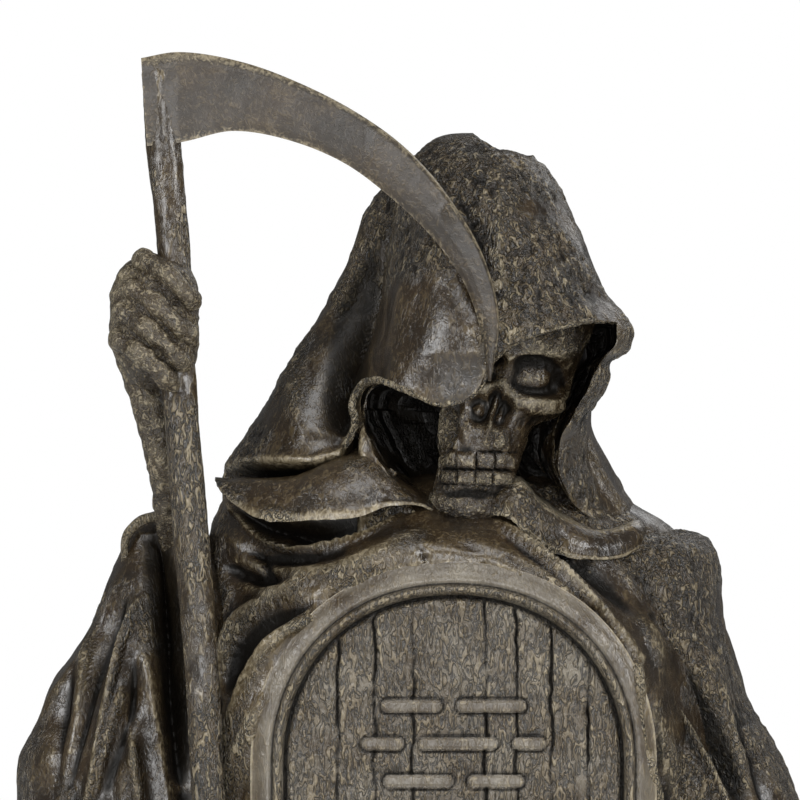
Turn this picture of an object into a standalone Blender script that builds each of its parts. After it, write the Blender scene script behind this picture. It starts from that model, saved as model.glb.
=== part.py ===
"""A grim reaper statue, cast in one piece: a hooded skeleton behind an arched grave marker, on a low plinth.

The front faces -Y and the plinth stands on z = 0. Everything that a caster would measure is a size in
metres. The figure itself is free form, so its outlines, folds and bones are drawn in units that are shares
of its own height: x runs to the right of the middle line, z up from the top of the plinth.
"""

import math

import bmesh
import bpy
import numpy as np

FIGURE_HEIGHT = 0.535  # plinth top to the top of the scythe blade
PLINTH_WIDTH = 0.404
PLINTH_DEPTH = 0.244
PLINTH_HEIGHT = 0.019
PLINTH_POWER = 5.0  # how square it is in plan; 2 would be an ellipse
PLINTH_LOBES = 9  # waves round its trodden edge
PLINTH_UNEVEN = 0.12
# Shares of its width and of its height, from below the ground up and in.
PLINTH_PROFILE = ((1, -0.5), (1, 0), (1, 0.45), (0.992, 0.7), (0.972, 0.88), (0.94, 1.0), (0.6, 1.0))
MARKER_WIDTH = 0.178
MARKER_HEIGHT = 0.3040  # plinth top to the crown of its arch
MARKER_THICKNESS = 0.055
MARKER_FRONT = 0.091  # its face in front of the middle plane
BAND_WIDTH = 0.0095  # plain border outside the bead
BEAD_WIDTH = 0.0042
BEAD_RISE = 0.0012
GROOVE_WIDTH = 0.0030
FIELD_RECESS = 0.0030
EDGE_ROUND = 0.004  # how far the border falls back at the marker's outline
ARCH_POWER = 2.15  # 2 would be a plain half circle; a little more fills out its shoulders
MARKER_AXIS = 21  # the marker stands a little to the right of the middle, in the figure's units
PLANK_WIDTH = 0.0190
PLANK_JOINT = 0.0020
WORDS = ((0.026, 0.030), (0.018, 0.034, 0.014), (0.030, 0.024))  # length of each stroke, row by row
WORD_GAP = 0.007
STROKE_HEIGHT = 0.0055
STROKE_RISE = 0.0020
FIRST_ROW_HEIGHT = 0.241
ROW_PITCH = 0.0175
STAFF_DIAMETER = 0.0158
BLADE_THICKNESS = 0.0060
SINK = 0.004  # how deep one form runs into the next, so that the casting is one body

DRAWN_HEIGHT = 1163  # units in the figure's height
U = FIGURE_HEIGHT / DRAWN_HEIGHT
DRAWING_DISTANCE = 1.8  # the figure is drawn as seen from this far in front
DRAWING_MIDDLE = (-30, 815)  # and from this x and z
SKIN_CELL = 0.0016  # grid of the joined skin
SKIN_TRIANGLES = 9800
FINE_ZONES = ((-5, 150, 690, 870), (-325, -225, 840, 965))  # left, right, bottom, top in the figure's units
FINE_WEIGHT = 0.5  # faces in those zones are merged less readily than elsewhere, where the weight is 1
WEIGHT_FORCE = 0.015

# Rows of a form, bottom to top: z, left, right, front, back.
ROBE = (
    (-14, -362, 395, -184, 205),
    (65, -345, 385, -174, 195),
    (215, -318, 368, -160, 182),
    (415, -270, 335, -148, 166),
    (515, -250, 318, -141, 158),
    (615, -232, 286, -130, 150),
    (655, -226, 268, -124, 148),
    (690, -216, 236, -120, 142),
    (712, -208, 200, -108, 136),
    (730, -190, 170, -88, 120),
    (742, -150, 130, -50, 80),
)
LEFT_SLEEVE = (
    (-14, -425, -170, -162, 172),
    (165, -420, -166, -148, 152),
    (315, -416, -160, -132, 134),
    (415, -412, -160, -122, 122),
    (459, -411, -160, -118, 118),
    (476, -402, -162, -115, 115),
    (489, -394, -165, -113, 113),
    (531, -378, -172, -106, 106),
    (583, -341, -184, -95, 95),
    (639, -319, -204, -80, 75),
    (665, -309, -214, -68, 60),
    (683, -304, -224, -58, 46),
    (694, -297, -232, -48, 34),
    (700, -286, -242, -30, 16),
)
RIGHT_SLEEVE = (
    (-14, 160, 427, -168, 176),
    (165, 155, 418, -156, 163),
    (315, 150, 396, -143, 149),
    (415, 150, 368, -134, 140),
    (470, 154, 344, -127, 132),
    (500, 158, 324, -121, 124),
    (552, 164, 303, -114, 115),
    (601, 171, 292, -104, 105),
    (645, 158, 290, -98, 92),
    (663, 154, 286, -90, 80),
    (674, 158, 278, -76, 66),
    (681, 172, 266, -54, 46),
    (685, 202, 248, -22, 22),
)
HOOD_DRAPE = (
    (640, -176, 190, -124, 150),
    (665, -195, 212, -130, 160),
    (692, -205, 212, -127, 160),
    (726, -209, 193, -122, 158),
    (749, -204, 180, -118, 156),
    (795, -176, 160, -106, 152),
    (865, -130, 168, -92, 146),
    (919, -99, 165, -80, 140),
    (969, -77, 155, -70, 133),
    (1001, -65, 142, -62, 125),
    (1025, -49, 130, -54, 114),
    (1050, -32, 112, -40, 90),
    (1062, 0, 85, -16, 50),
)
HOOD_HEAD = (
    (755, -76, 150, -160, 124),
    (790, -80, 160, -174, 128),
    (811, -82, 173, -182, 130),
    (831, -77, 186, -186, 132),
    (853, -68, 190, -190, 134),
    (866, -63, 210, -194, 136),
    (884, -56, 216, -194, 138),
    (899, -53, 206, -190, 138),
    (925, -48, 184, -180, 136),
    (969, -41, 162, -166, 130),
    (1002, -35, 145, -152, 122),
    (1025, -30, 131, -138, 112),
    (1050, -22, 116, -116, 98),
    (1064, -10, 100, -92, 82),
    (1077, 6, 72, -58, 55),
    (1084, 26, 54, -22, 22),
)
# The rolled edge of the hood round the face, clockwise from the left cheek: x, z, radius.
HEM = (
    (-93, 761, 4),
    (-82, 774, 5),
    (-75, 796, 5),
    (-78, 808, 5),
    (-71, 827, 6),
    (-51, 837, 6),
    (-18, 824, 5),
    (16, 813, 6),
    (48, 826, 6),
    (64, 857, 5),
    (99, 881, 5),
    (151, 896, 6),
    (196, 898, 7),
    (214, 885, 6),
)
# The hollow's outline on the front, clockwise from the left cheek: x, z.
FACE_OPENING = (
    (-73, 808),
    (-66, 826),
    (-50, 832),
    (-18, 821),
    (16, 810),
    (45, 822),
    (61, 851),
    (99, 877),
    (151, 892),
    (196, 893),
    (210, 882),
    (187, 858),
    (170, 830),
    (142, 795),
    (129, 755),
    (142, 713),
    (176, 686),
    (130, 699),
    (90, 727),
    (73, 693),
    (40, 687),
    (-5, 697),
    (-32, 725),
    (-58, 763),
)
OPENING_CENTRE = (60, 800)
OPENING_STAGES = ((-320, 1.0), (-120, 1.0), (-80, 0.94), (-50, 0.72), (-32, 0.35))  # y, share of the outline

# Folds: three points (x, z) on the crest, its half width, and its height (below zero for a valley).
ROBE_FOLDS = (
    ((-214, 730), (-140, 667), (-30, 703), 8, 12),
    ((-201, 700), (-130, 684), (-40, 708), 11, -20),
    ((-201, 681), (-130, 640), (-4, 688), 8, 8),
    ((-200, 655), (-190, 640), (-150, 632), 9, -10),
    ((-130, 625), (-195, 565), (-208, 415), 13, 12),
    ((-108, 597), (-177, 547), (-206, 380), 11, 12),
    ((-100, 612), (-175, 590), (-200, 520), 9, -9),
    ((-170, 510), (-196, 440), (-215, 300), 12, 10),
    ((68, 691), (140, 639), (209, 558), 9, 13),
    ((50, 670), (101, 633), (160, 585), 8, 5),
    ((90, 686), (150, 652), (214, 590), 9, -9),
    ((184, 633), (215, 590), (232, 545), 9, 8),
)
LEFT_SLEEVE_FOLDS = (
    ((-290, 615), (-322, 520), (-352, 340), 9, 15),
    ((-308, 525), (-290, 430), (-270, 250), 14, 13),
    ((-285, 565), (-272, 495), (-255, 380), 10, 9),
    ((-314, 635), (-342, 560), (-372, 400), 10, 9),
    ((-303, 615), (-335, 535), (-362, 400), 9, -12),
    ((-272, 675), (-258, 575), (-240, 380), 20, -34),
    ((-346, 573), (-368, 531), (-396, 480), 8, 7),
    ((-300, 400), (-318, 250), (-340, 20), 15, 12),
    ((-350, 380), (-380, 220), (-400, 10), 16, 12),
    ((-330, 400), (-355, 250), (-372, 20), 12, -12),
)
RIGHT_SLEEVE_FOLDS = (
    ((225, 535), (274, 464), (322, 350), 9, 14),
    ((225, 560), (266, 503), (318, 410), 17, -26),
    ((209, 554), (213, 490), (236, 380), 8, 11),
    ((219, 515), (226, 465), (250, 370), 8, -14),
    ((213, 590), (222, 575), (228, 556), 9, -14),
    ((270, 575), (312, 455), (362, 250), 16, 9),
    ((250, 380), (278, 220), (300, 10), 15, 12),
    ((300, 380), (340, 220), (372, 10), 17, 13),
    ((280, 390), (312, 230), (338, 10), 12, -14),
    ((352, 330), (388, 200), (408, 10), 14, 10),
)
HOOD_FOLDS = (
    ((-58, 1000), (-112, 885), (-172, 770), 15, 9),
    ((-60, 960), (-84, 880), (-96, 775), 13, -14),
    ((10, 1045), (48, 975), (60, 885), 20, -11),
    ((75, 1070), (68, 980), (80, 900), 16, 5),
)
SWELL_REACH = 34  # how far out from the marker the robe is drawn up to it
BRIM_TUCK = 3  # how far inside its drape the hood's right side is tucked behind the brim
HEAD_POWER = 2.8  # how boxy the hood is over the head; 2 would be an ellipse
# Folds that only the back and the sides have: how many go round, and how deep they are at the ground.
BACK_FOLDS = 15
BACK_FOLD_DEPTH = 13
BROAD_FOLDS = 7  # broader ones among them
FOLD_SHARES = (650, 60)  # they deepen from the first height down to the second
HOOD_BACK_DEPTH = 5  # how deep they are on the back of the hood
DRAPE_HEM = ((-206, 742), (-187, 748), (-116, 750), (-90, 760), (-80, 790))  # lower edge of the hood, left
DRAPE_STEP = 15  # how far the cloth under that hem lies back
SWELL_FADE = (230, 450)  # the robe starts to be drawn up to the marker between these heights
NEAR_FADE = (0, 420)  # the drawing's perspective fades out below these heights, towards the square plinth
# Strips of cloth: top x, y, z, bottom x, y, z, how far it bellies out, and how thick it is.
COWL_LEFT = (
    (-215, -82, 744, -213, -86, 733, 1, 10),
    (-192, -92, 754, -197, -106, 714, 6, 18),
    (-160, -98, 756, -168, -128, 695, 9, 24),
    (-130, -106, 756, -132, -140, 693, 11, 28),
    (-92, -112, 770, -100, -144, 695, 11, 30),
    (-62, -112, 780, -74, -146, 697, 11, 32),
    (-44, -100, 758, -36, -142, 709, 7, 30),
    (-30, -92, 737, -18, -134, 709, 4, 26),
    (10, -90, 714, 12, -124, 700, 2, 22),
)
LIP_RIGHT = (
    (40, -96, 712, 36, -118, 698, 1, 18),
    (66, -116, 728, 58, -136, 700, 3, 22),
    (88, -130, 733, 78, -150, 696, 5, 24),
    (111, -128, 712, 101, -146, 677, 6, 24),
    (130, -120, 699, 122, -138, 664, 6, 24),
    (151, -114, 689, 150, -132, 656, 6, 26),
    (172, -104, 683, 172, -122, 654, 6, 28),
    (192, -92, 686, 192, -108, 658, 5, 28),
    (207, -74, 694, 209, -86, 670, 4, 26),
    (214, -52, 702, 215, -58, 686, 2, 20),
)
# The rim of the left sleeve: x, y, z, radius.
SLEEVE_RIM = (
    (-306, -34, 648, 6),
    (-303, -46, 680, 7),
    (-288, -50, 695, 7),
    (-266, -44, 699, 7),
    (-250, -30, 692, 5),
)
# The skull's rows and sizes are from the middle of its face, upright.
SKULL_ORIGIN = (70, -68, 820)
SKULL_ROLL = math.radians(14.6)  # the head leans: its crown to the right, its chin to the left
SKULL = (
    (-129, -26, 16, -72, -20),
    (-125, -36, 27, -78, 0),
    (-116, -43, 35, -82, 10),
    (-100, -40, 34, -78, 16),
    (-80, -42, 35, -78, 18),
    (-55, -49, 36, -80, 20),
    (-34, -53, 38, -78, 24),
    (-20, -60, 50, -76, 26),
    (-6, -68, 62, -74, 28),
    (14, -71, 66, -72, 32),
    (42, -71, 67, -78, 38),
    (62, -73, 69, -84, 44),
    (100, -78, 76, -78, 50),
    (135, -68, 66, -54, 44),
    (152, -42, 40, -26, 24),
)
BITE = -78  # where the jaws meet
UPPER_TEETH = (20, 25)  # width and height of a tooth
LOWER_TEETH = (18, 15)
JAW_MIDDLE = -5  # the nose, teeth and chin sit a little to the left of the sockets' middle
# The staff's middle line: x, y, z, and its share of the diameter.
STAFF = (
    (-272, -128, 1158, 1.05),
    (-266, -130, 1065, 0.99),
    (-256, -136, 965, 0.95),
    (-250, -143, 815, 1.0),
    (-242, -150, 715, 1.03),
    (-234, -158, 615, 1.05),
    (-227, -165, 515, 0.97),
    (-221, -171, 415, 1.0),
    (-196, -185, -8, 1.04),
)
FINGERS = (
    # knuckle, middle joint, tip, each x and z, over the staff from left to right
    ((-288, 955), (-262, 940), (-236, 914)),
    ((-302, 928), (-274, 911), (-240, 880)),
    ((-309, 902), (-282, 886), (-245, 852)),
    ((-312, 875), (-290, 862), (-258, 832)),
)
# Middle lines of the arm, the palm and the thumb: x, y, z, radius.
FOREARM = (
    (-296, -108, 880, 24),
    (-294, -112, 850, 18),
    (-282, -112, 815, 17.5),
    (-270, -112, 765, 16),
    (-264, -108, 715, 15),
    (-258, -96, 640, 16),
    (-250, -70, 575, 20),
)
BLADE = (
    # back edge x, z and cutting edge x, z, from the heel to the point
    (-289, 1157, -283, 1069),
    (-252, 1163, -248, 1073),
    (-188, 1153, -196, 1084),
    (-126, 1130, -142, 1075),
    (-66, 1098, -86, 1052),
    (-20, 1063, -41, 1019),
    (21, 1015, 1, 979),
    (55, 955, 33, 934),
    (69, 893, 50, 887),
    (61, 834, 58, 834),
)
BLADE_DEPTH = ((-252, -130), (-66, -150), (0, -172), (62, -196))  # x, y of its middle plane
PALM = ((-286, -128, 956, 19), (-294, -134, 920, 25), (-296, -132, 884, 25), (-294, -116, 846, 18))
THUMB = ((-282, -112, 945, 11), (-262, -112, 955, 10), (-246, -118, 948, 9), (-238, -130, 940, 7))


def smooth(edge0, edge1, value):
    """0 below edge0, 1 above edge1, and an S between them."""
    t = np.clip((value - edge0) / (edge1 - edge0), 0, 1)
    return t * t * (3 - 2 * t)


def run_along(rows):
    """How far each row is along the rows' own curve."""
    return np.concatenate([[0], np.cumsum(np.linalg.norm(np.diff(rows, axis=0), axis=1))])


def read_rows(rows, run, at):
    """The rows' curve at the distances at. Each column is a cubic whose slope is level where it turns."""
    step = np.diff(run)[:, None]
    rise = np.diff(rows, axis=0) / step
    inner = np.where(rise[1:] * rise[:-1] > 0, (rise[1:] + rise[:-1]) / 2, 0)
    slope = np.vstack([rise[:1], inner, rise[-1:]])
    i = np.clip(np.searchsorted(run, at, side="right") - 1, 0, len(step) - 1)
    t = ((at - run[i]) / step[i, 0])[:, None]
    start, end, pull = rows[i], rows[i + 1], step[i]
    return (
        start * (1 + 2 * t) * (1 - t) ** 2
        + end * t * t * (3 - 2 * t)
        + pull * (slope[i] * t * (1 - t) ** 2 - slope[i + 1] * t * t * (1 - t))
    )


def through(rows, count):
    """The rows' own curve, read at count places that are evenly spaced along it."""
    rows = np.asarray(rows, float)
    run = run_along(rows)
    return read_rows(rows, run, np.linspace(0, run[-1], count))


def closed_curve(points, count):
    """A smooth closed line through the points."""
    points = np.asarray(points, float)
    wrapped = np.vstack([points[-2:], points, points[:3]])
    run = run_along(wrapped)
    return read_rows(wrapped, run, np.linspace(run[2], run[2 + len(points)], count, endpoint=False))


def crest_distance(x, z, fold):
    """Distance from each point to a fold's crest, and how far along the crest the nearest point is."""
    start, middle, end = (np.array(p, float) for p in fold[:3])
    control = 2 * middle - (start + end) / 2
    t = np.linspace(0, 1, 17)[:, None]
    line = start * (1 - t) ** 2 + 2 * control * t * (1 - t) + end * t * t
    nearest = np.full(x.shape, 1e9)
    along = np.zeros(x.shape)
    for k in range(len(line) - 1):
        side = line[k + 1] - line[k]
        s = np.clip(((x - line[k, 0]) * side[0] + (z - line[k, 1]) * side[1]) / (side @ side), 0, 1)
        away = np.hypot(x - line[k, 0] - s * side[0], z - line[k, 1] - s * side[1])
        closer = away < nearest
        nearest = np.where(closer, away, nearest)
        along = np.where(closer, (k + s) / (len(line) - 1), along)
    return nearest, along


def fold_relief(x, z, folds):
    """Height of all the folds at (x, z): each crest falls off on both sides and fades out at its ends."""
    height = np.zeros(x.shape)
    for fold in folds:
        away, along = crest_distance(x, z, fold)
        fade = np.sqrt(np.clip(np.sin(np.pi * np.clip(along, 0.02, 0.98)), 0, 1))
        height += fold[4] * fade * np.exp(-((away / fold[3]) ** 1.6))
    return height


def grid_faces(levels, around):
    """Quads of a tube of rings, and the two flat ends."""
    ring = np.arange(around)
    nxt = np.roll(ring, -1)
    base = np.arange(levels - 1)[:, None] * around
    quads = np.stack([base + ring, base + nxt, base + around + nxt, base + around + ring], -1)
    faces = quads.reshape(-1, 4).tolist()
    faces.append(ring[::-1].tolist())
    faces.append((ring + (levels - 1) * around).tolist())
    return faces


def grid_normals(points):
    """Unit normals of a (levels, around, 3) tube of rings that runs anticlockwise and upwards."""
    turn = np.roll(points, -1, axis=1) - np.roll(points, 1, axis=1)
    climb = np.gradient(points, axis=0)
    normal = np.cross(turn, climb)
    return normal / np.maximum(np.linalg.norm(normal, axis=2, keepdims=True), 1e-9)


def loft(rows, levels, around, power, relief, reshape=None):
    """A closed form from its rows. Each level is a rounded oblong between left, right, front and back."""
    row = through(rows, levels)
    z, left, right, front, back = (row[:, k : k + 1] for k in range(5))
    angle = np.linspace(0, 2 * np.pi, around, endpoint=False)[None]
    across = np.sign(np.cos(angle)) * np.abs(np.cos(angle)) ** (2 / power)
    deep = np.sign(np.sin(angle)) * np.abs(np.sin(angle)) ** (2 / power)
    x = (left + right) / 2 + across * (right - left) / 2
    y = (front + back) / 2 + deep * (back - front) / 2
    points = np.stack([x, y, np.broadcast_to(z, x.shape)], -1)
    if reshape is not None:
        points = reshape(points)
    normals = grid_normals(points)
    return points + normals * relief(points, normals, angle)[..., None]


def front_of(rows, x, z, power):
    """The y of a form's front face at (x, z), or of its last forward part where it turns to the side."""
    rows = np.asarray(rows, float)
    left, right, front, back = (np.interp(z, rows[:, 0], rows[:, k]) for k in range(1, 5))
    share = np.clip(np.abs(x - (left + right) / 2) / ((right - left) / 2), 0, 0.94)
    return (front + back) / 2 - (back - front) / 2 * (1 - share**power) ** (1 / power)


def sweep(path, levels, around, flat=1.0):
    """A closed tube along a path of rows x, y, z, radius. flat is its depth over its height."""
    row = through(path, levels)
    centre, radius = row[:, :3], row[:, 3:]
    run = np.gradient(centre, axis=0)
    run /= np.linalg.norm(run, axis=1, keepdims=True)
    deep = np.array([0.0, 1.0, 0.0]) - run * run[:, 1:2]
    deep /= np.linalg.norm(deep, axis=1, keepdims=True)
    side = np.cross(run, deep)
    angle = np.linspace(0, 2 * np.pi, around, endpoint=False)
    ring = (
        np.cos(angle)[None, :, None] * side[:, None] * radius[:, None]
        + np.sin(angle)[None, :, None] * deep[:, None] * radius[:, None] * flat
    )
    return centre[:, None] + ring * -1


def undo_perspective(points):
    """Draws in what stands nearer than the middle plane, since it looked larger in the drawing."""
    x, y, z = points[..., 0], points[..., 1], points[..., 2]
    nearer = y * U / DRAWING_DISTANCE * smooth(*NEAR_FADE, z)
    return np.stack([x + (x - DRAWING_MIDDLE[0]) * nearer, y, z + (z - DRAWING_MIDDLE[1]) * nearer], -1)


def drawn(name, points):
    """An object from a tube of rings drawn in the figure's units."""
    return solid(name, undo_perspective(points) * U)


def solid(name, points, lift=PLINTH_HEIGHT):
    """An object from a tube of rings in metres, raised by lift."""
    levels, around = points.shape[:2]
    placed = points.reshape(-1, 3) + np.array([0, 0, lift])
    mesh = bpy.data.meshes.new(name)
    mesh.from_pydata(placed.tolist(), [], grid_faces(levels, around))
    shape = bmesh.new()
    shape.from_mesh(mesh)
    bmesh.ops.recalc_face_normals(shape, faces=shape.faces)
    shape.to_mesh(mesh)
    shape.free()
    made = bpy.data.objects.new(name, mesh)
    bpy.context.scene.collection.objects.link(made)
    return made


def drape(points, angle, deepest=BACK_FOLD_DEPTH):
    """Hanging folds that go round a form, deeper towards the ground."""
    z = points[..., 2]
    grow = 0.25 + 0.75 * smooth(*FOLD_SHARES, z)
    swing = angle + 0.12 * np.sin(z / 130)
    wave = np.cos(BACK_FOLDS * swing) + 0.45 * np.cos(BROAD_FOLDS * swing + 1.3)
    return deepest * grow * wave / 1.45


def marker_inset(x, height):
    """How far a point of the marker's plane is inside the arched outline, in metres; below zero outside."""
    half = MARKER_WIDTH / 2
    up = np.clip(height - (MARKER_HEIGHT - half), 0, None)
    return half - (np.abs(x) ** ARCH_POWER + up**ARCH_POWER) ** (1 / ARCH_POWER)


def drawn_up_to_marker(points):
    """The robe comes forward to meet the marker's edge all round it, and stays behind the marker's face."""
    x, y, z = points[..., 0], points[..., 1], points[..., 2]
    outside = -marker_inset((x - MARKER_AXIS) * U, z * U) / U
    behind = np.clip(y + (MARKER_FRONT - EDGE_ROUND) / U, 0, None) * (y < 0)
    near = np.exp(-((np.clip(outside, 0, None) / SWELL_REACH) ** 2)) * smooth(-24, -10, outside)
    return np.stack([x, y - behind * near * smooth(*SWELL_FADE, z), z], -1)


def cloth_relief(folds):
    """Folds drawn on the front, hanging folds behind and below."""

    def relief(points, normals, angle):
        x, z = points[..., 0], points[..., 2]
        front = smooth(-0.05, 0.45, -normals[..., 1])
        behind = smooth(0.10, -0.35, -normals[..., 1])
        low = 0.55 * smooth(330, 120, z)
        return front * fold_relief(x, z, folds) + np.maximum(behind, front * low) * drape(points, angle)

    return relief


def hood_relief(points, normals, angle):
    """The hood's folds, and the hem of its left drape, below which the cloth steps back."""
    x, z = points[..., 0], points[..., 2]
    front = smooth(-0.05, 0.45, -normals[..., 1])
    hem_line = np.interp(x, *np.transpose(DRAPE_HEM))
    below = smooth(hem_line + 2, hem_line - 5, z) * smooth(-70, -84, x)
    behind = smooth(0.10, -0.35, -normals[..., 1])
    drawn_folds = fold_relief(x, z, HOOD_FOLDS) - DRAPE_STEP * below
    return front * drawn_folds + behind * drape(points, angle, HOOD_BACK_DEPTH)


def make_plinth():
    """A low mound of trodden earth with a flat underside, its edge cut square to the ground."""
    angle = np.linspace(0, 2 * np.pi, 96, endpoint=False)
    across = np.sign(np.cos(angle)) * np.abs(np.cos(angle)) ** (2 / PLINTH_POWER)
    deep = np.sign(np.sin(angle)) * np.abs(np.sin(angle)) ** (2 / PLINTH_POWER)
    rings = []
    for share, rise in PLINTH_PROFILE:
        wavy = share + PLINTH_UNEVEN * (1 - share) * np.sin(PLINTH_LOBES * angle + 5 * rise)
        height = np.full(angle.shape, PLINTH_HEIGHT * rise)
        rings.append(np.stack([PLINTH_WIDTH / 2 * wavy * across, PLINTH_DEPTH / 2 * wavy * deep, height], -1))
    return solid("plinth", np.array(rings), lift=0.0)


def arch_chord(height):
    """Half the marker's width at a height above the plinth."""
    half = MARKER_WIDTH / 2
    rise = np.clip((height - (MARKER_HEIGHT - half)) / half, 0, 1)
    return half * (1 - rise**ARCH_POWER) ** (1 / ARCH_POWER)


def marker_face(x, height):
    """How far the marker's face stands back at a point: band, bead, groove, and planks in the field."""
    inset = marker_inset(x, height)
    bead_end = BAND_WIDTH + BEAD_WIDTH
    field = bead_end + GROOVE_WIDTH
    edge = EDGE_ROUND * (1 - smooth(0, 1, inset / BAND_WIDTH)) ** 2
    bead = np.sin(np.pi * np.clip((inset - BAND_WIDTH) / BEAD_WIDTH, 0, 1)) * BEAD_RISE
    back = smooth(bead_end, bead_end + GROOVE_WIDTH * 0.4, inset) * FIELD_RECESS
    trench = np.exp(-(((inset - bead_end - GROOVE_WIDTH / 2) / (GROOVE_WIDTH * 0.5)) ** 2)) * FIELD_RECESS * 0.5
    joint = np.abs((x / PLANK_WIDTH + 0.5) % 1 - 0.5) * PLANK_WIDTH
    planks = np.exp(-((joint / PLANK_JOINT) ** 2)) * FIELD_RECESS * 0.4 * (inset > field)
    return edge + back + trench + planks - bead


def make_marker():
    """The grave marker: an upright slab with an arched head, a bead round its edge and a planked field."""
    levels, across = 110, 90
    foot = -SINK
    rise = np.linspace(0, 1, levels)
    height = foot + (MARKER_HEIGHT - foot) * (1 - (1 - rise) ** 1.25) * 0.9995
    share = np.sin(np.linspace(-np.pi / 2, np.pi / 2, across))
    x = arch_chord(height)[:, None] * share[None]
    front = -MARKER_FRONT + marker_face(x, height[:, None])
    back = np.full(x.shape, MARKER_THICKNESS - MARKER_FRONT)
    level = np.broadcast_to(height[:, None], x.shape)
    face = np.stack([x, front, level], -1)
    rear = np.stack([x, back, level], -1)[:, ::-1]
    points = np.concatenate([face, rear], axis=1)
    points[..., 0] += MARKER_AXIS * U
    return solid("marker", points)


def make_inscription():
    """Rows of shallow raised strokes, one for each word, where a grave marker carries its writing."""
    strokes = []
    face = -MARKER_FRONT + FIELD_RECESS
    radius = STROKE_HEIGHT / 2
    for row, words in enumerate(WORDS):
        height = FIRST_ROW_HEIGHT - ROW_PITCH * row
        x = MARKER_AXIS * U - (sum(words) + WORD_GAP * (len(words) - 1)) / 2
        for k, length in enumerate(words):
            ends = ((0, 0.5), (0.12, 0.95), (0.5, 1.0), (0.85, 0.9), (1, 0.45))
            path = [(x + length * share, face, height, radius * full) for share, full in ends]
            strokes.append(solid(f"stroke_{row}_{k}", sweep(path, 12, 10, STROKE_RISE / radius)))
            x += length + WORD_GAP
    return strokes


def brim_tucked(points):
    """The brim stands out over the face only: further back the hood's right side lies in its drape."""
    x, y, z = points[..., 0], points[..., 1], points[..., 2]
    rows = np.array(HOOD_DRAPE, float)
    limit = np.interp(z, rows[:, 0], rows[:, 2]) - BRIM_TUCK
    share = smooth(-95, -25, y) * (x > limit)
    return np.stack([x + (limit - x) * share, y, z], -1)


def make_hood():
    """Two domes of cloth, one over the skull and one falling to the shoulders, opened round the face."""
    head = drawn("hood_head", brim_tucked(loft(HOOD_HEAD, 70, 96, HEAD_POWER, hood_relief)))
    fall = drawn("hood_drape", loft(HOOD_DRAPE, 70, 110, 2.4, hood_relief))
    outline = closed_curve(FACE_OPENING, 120)[::-1]
    centre = np.array(OPENING_CENTRE)
    rings = []
    for y, share in OPENING_STAGES:
        flat = centre + (outline - centre) * share
        rings.append(np.stack([flat[:, 0], np.full(len(flat), y), flat[:, 1]], -1))
    hollow = drawn("face_hollow", np.array(rings))
    hollow.hide_render = True
    hollow.display_type = "WIRE"
    for cloth in (head, fall):
        cut = cloth.modifiers.new("face", "BOOLEAN")
        cut.operation = "DIFFERENCE"
        cut.object = hollow
    return [head, fall]


def make_hem():
    """The rolled edge of the hood round the face."""
    x, z, radius = np.array(HEM, float).T
    y = front_of(HOOD_HEAD, x, z, HEAD_POWER) + 3
    return drawn("hem", sweep(np.stack([x, y, z, radius], -1), 60, 10))


def band(rows, levels, around):
    """A closed strip of cloth: its outer face bellies out, its lower edge is rolled, its back is flat."""
    row = through(rows, levels)
    top, foot, belly, thick = row[:, None, :3], row[:, None, 3:6], row[:, None, 6:7], row[:, None, 7:8]
    run = np.gradient(row[:, :3] + row[:, 3:6], axis=0)[:, None]
    out = np.cross(run, foot - top)
    out /= np.linalg.norm(out, axis=2, keepdims=True)
    out *= np.where(out[..., 1:2] > 0, -1, 1)
    t = np.linspace(0, 1, around // 2)[None, :, None]
    roll = 0.22 * thick * np.exp(-(((t - 0.93) / 0.06) ** 2))
    face = top * (1 - t) + foot * t + out * (belly * 4 * t * (1 - t) + roll)
    back = (top * (1 - t) + foot * t - out * thick)[:, ::-1]
    return np.concatenate([face, back], axis=1)


def make_collar():
    """The cowl: a broad strip of cloth from shoulder to chin on the left, a rolled lip on the right."""
    return [
        drawn("cowl_left", band(COWL_LEFT, 60, 40)),
        drawn("lip_right", band(LIP_RIGHT, 60, 40)),
        drawn("sleeve_rim", sweep(SLEEVE_RIM, 40, 14)),
    ]


def bump(x, z, centre, size):
    """1 at the centre of an oval, falling smoothly to 0 outside it."""
    return np.exp(-((((x - centre[0]) / size[0]) ** 2 + ((z - centre[1]) / size[1]) ** 2) ** 1.5))


def tooth_row(x, z, top, width, height):
    """A row of teeth hanging below top: rounded blocks with grooves between them and round them."""
    slant = x + 0.25 * (z - BITE) - JAW_MIDDLE
    across = np.abs((slant / width) % 1 - 0.5) * 2
    down = (top - z) / height
    inside = (np.abs(slant) < 2.1 * width) & (down > 0) & (down < 1)
    round_off = 1 - np.maximum(across, np.abs(2 * down - 1)) ** 5
    return np.where(inside, 5 * round_off - 1.5, 0)


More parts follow.
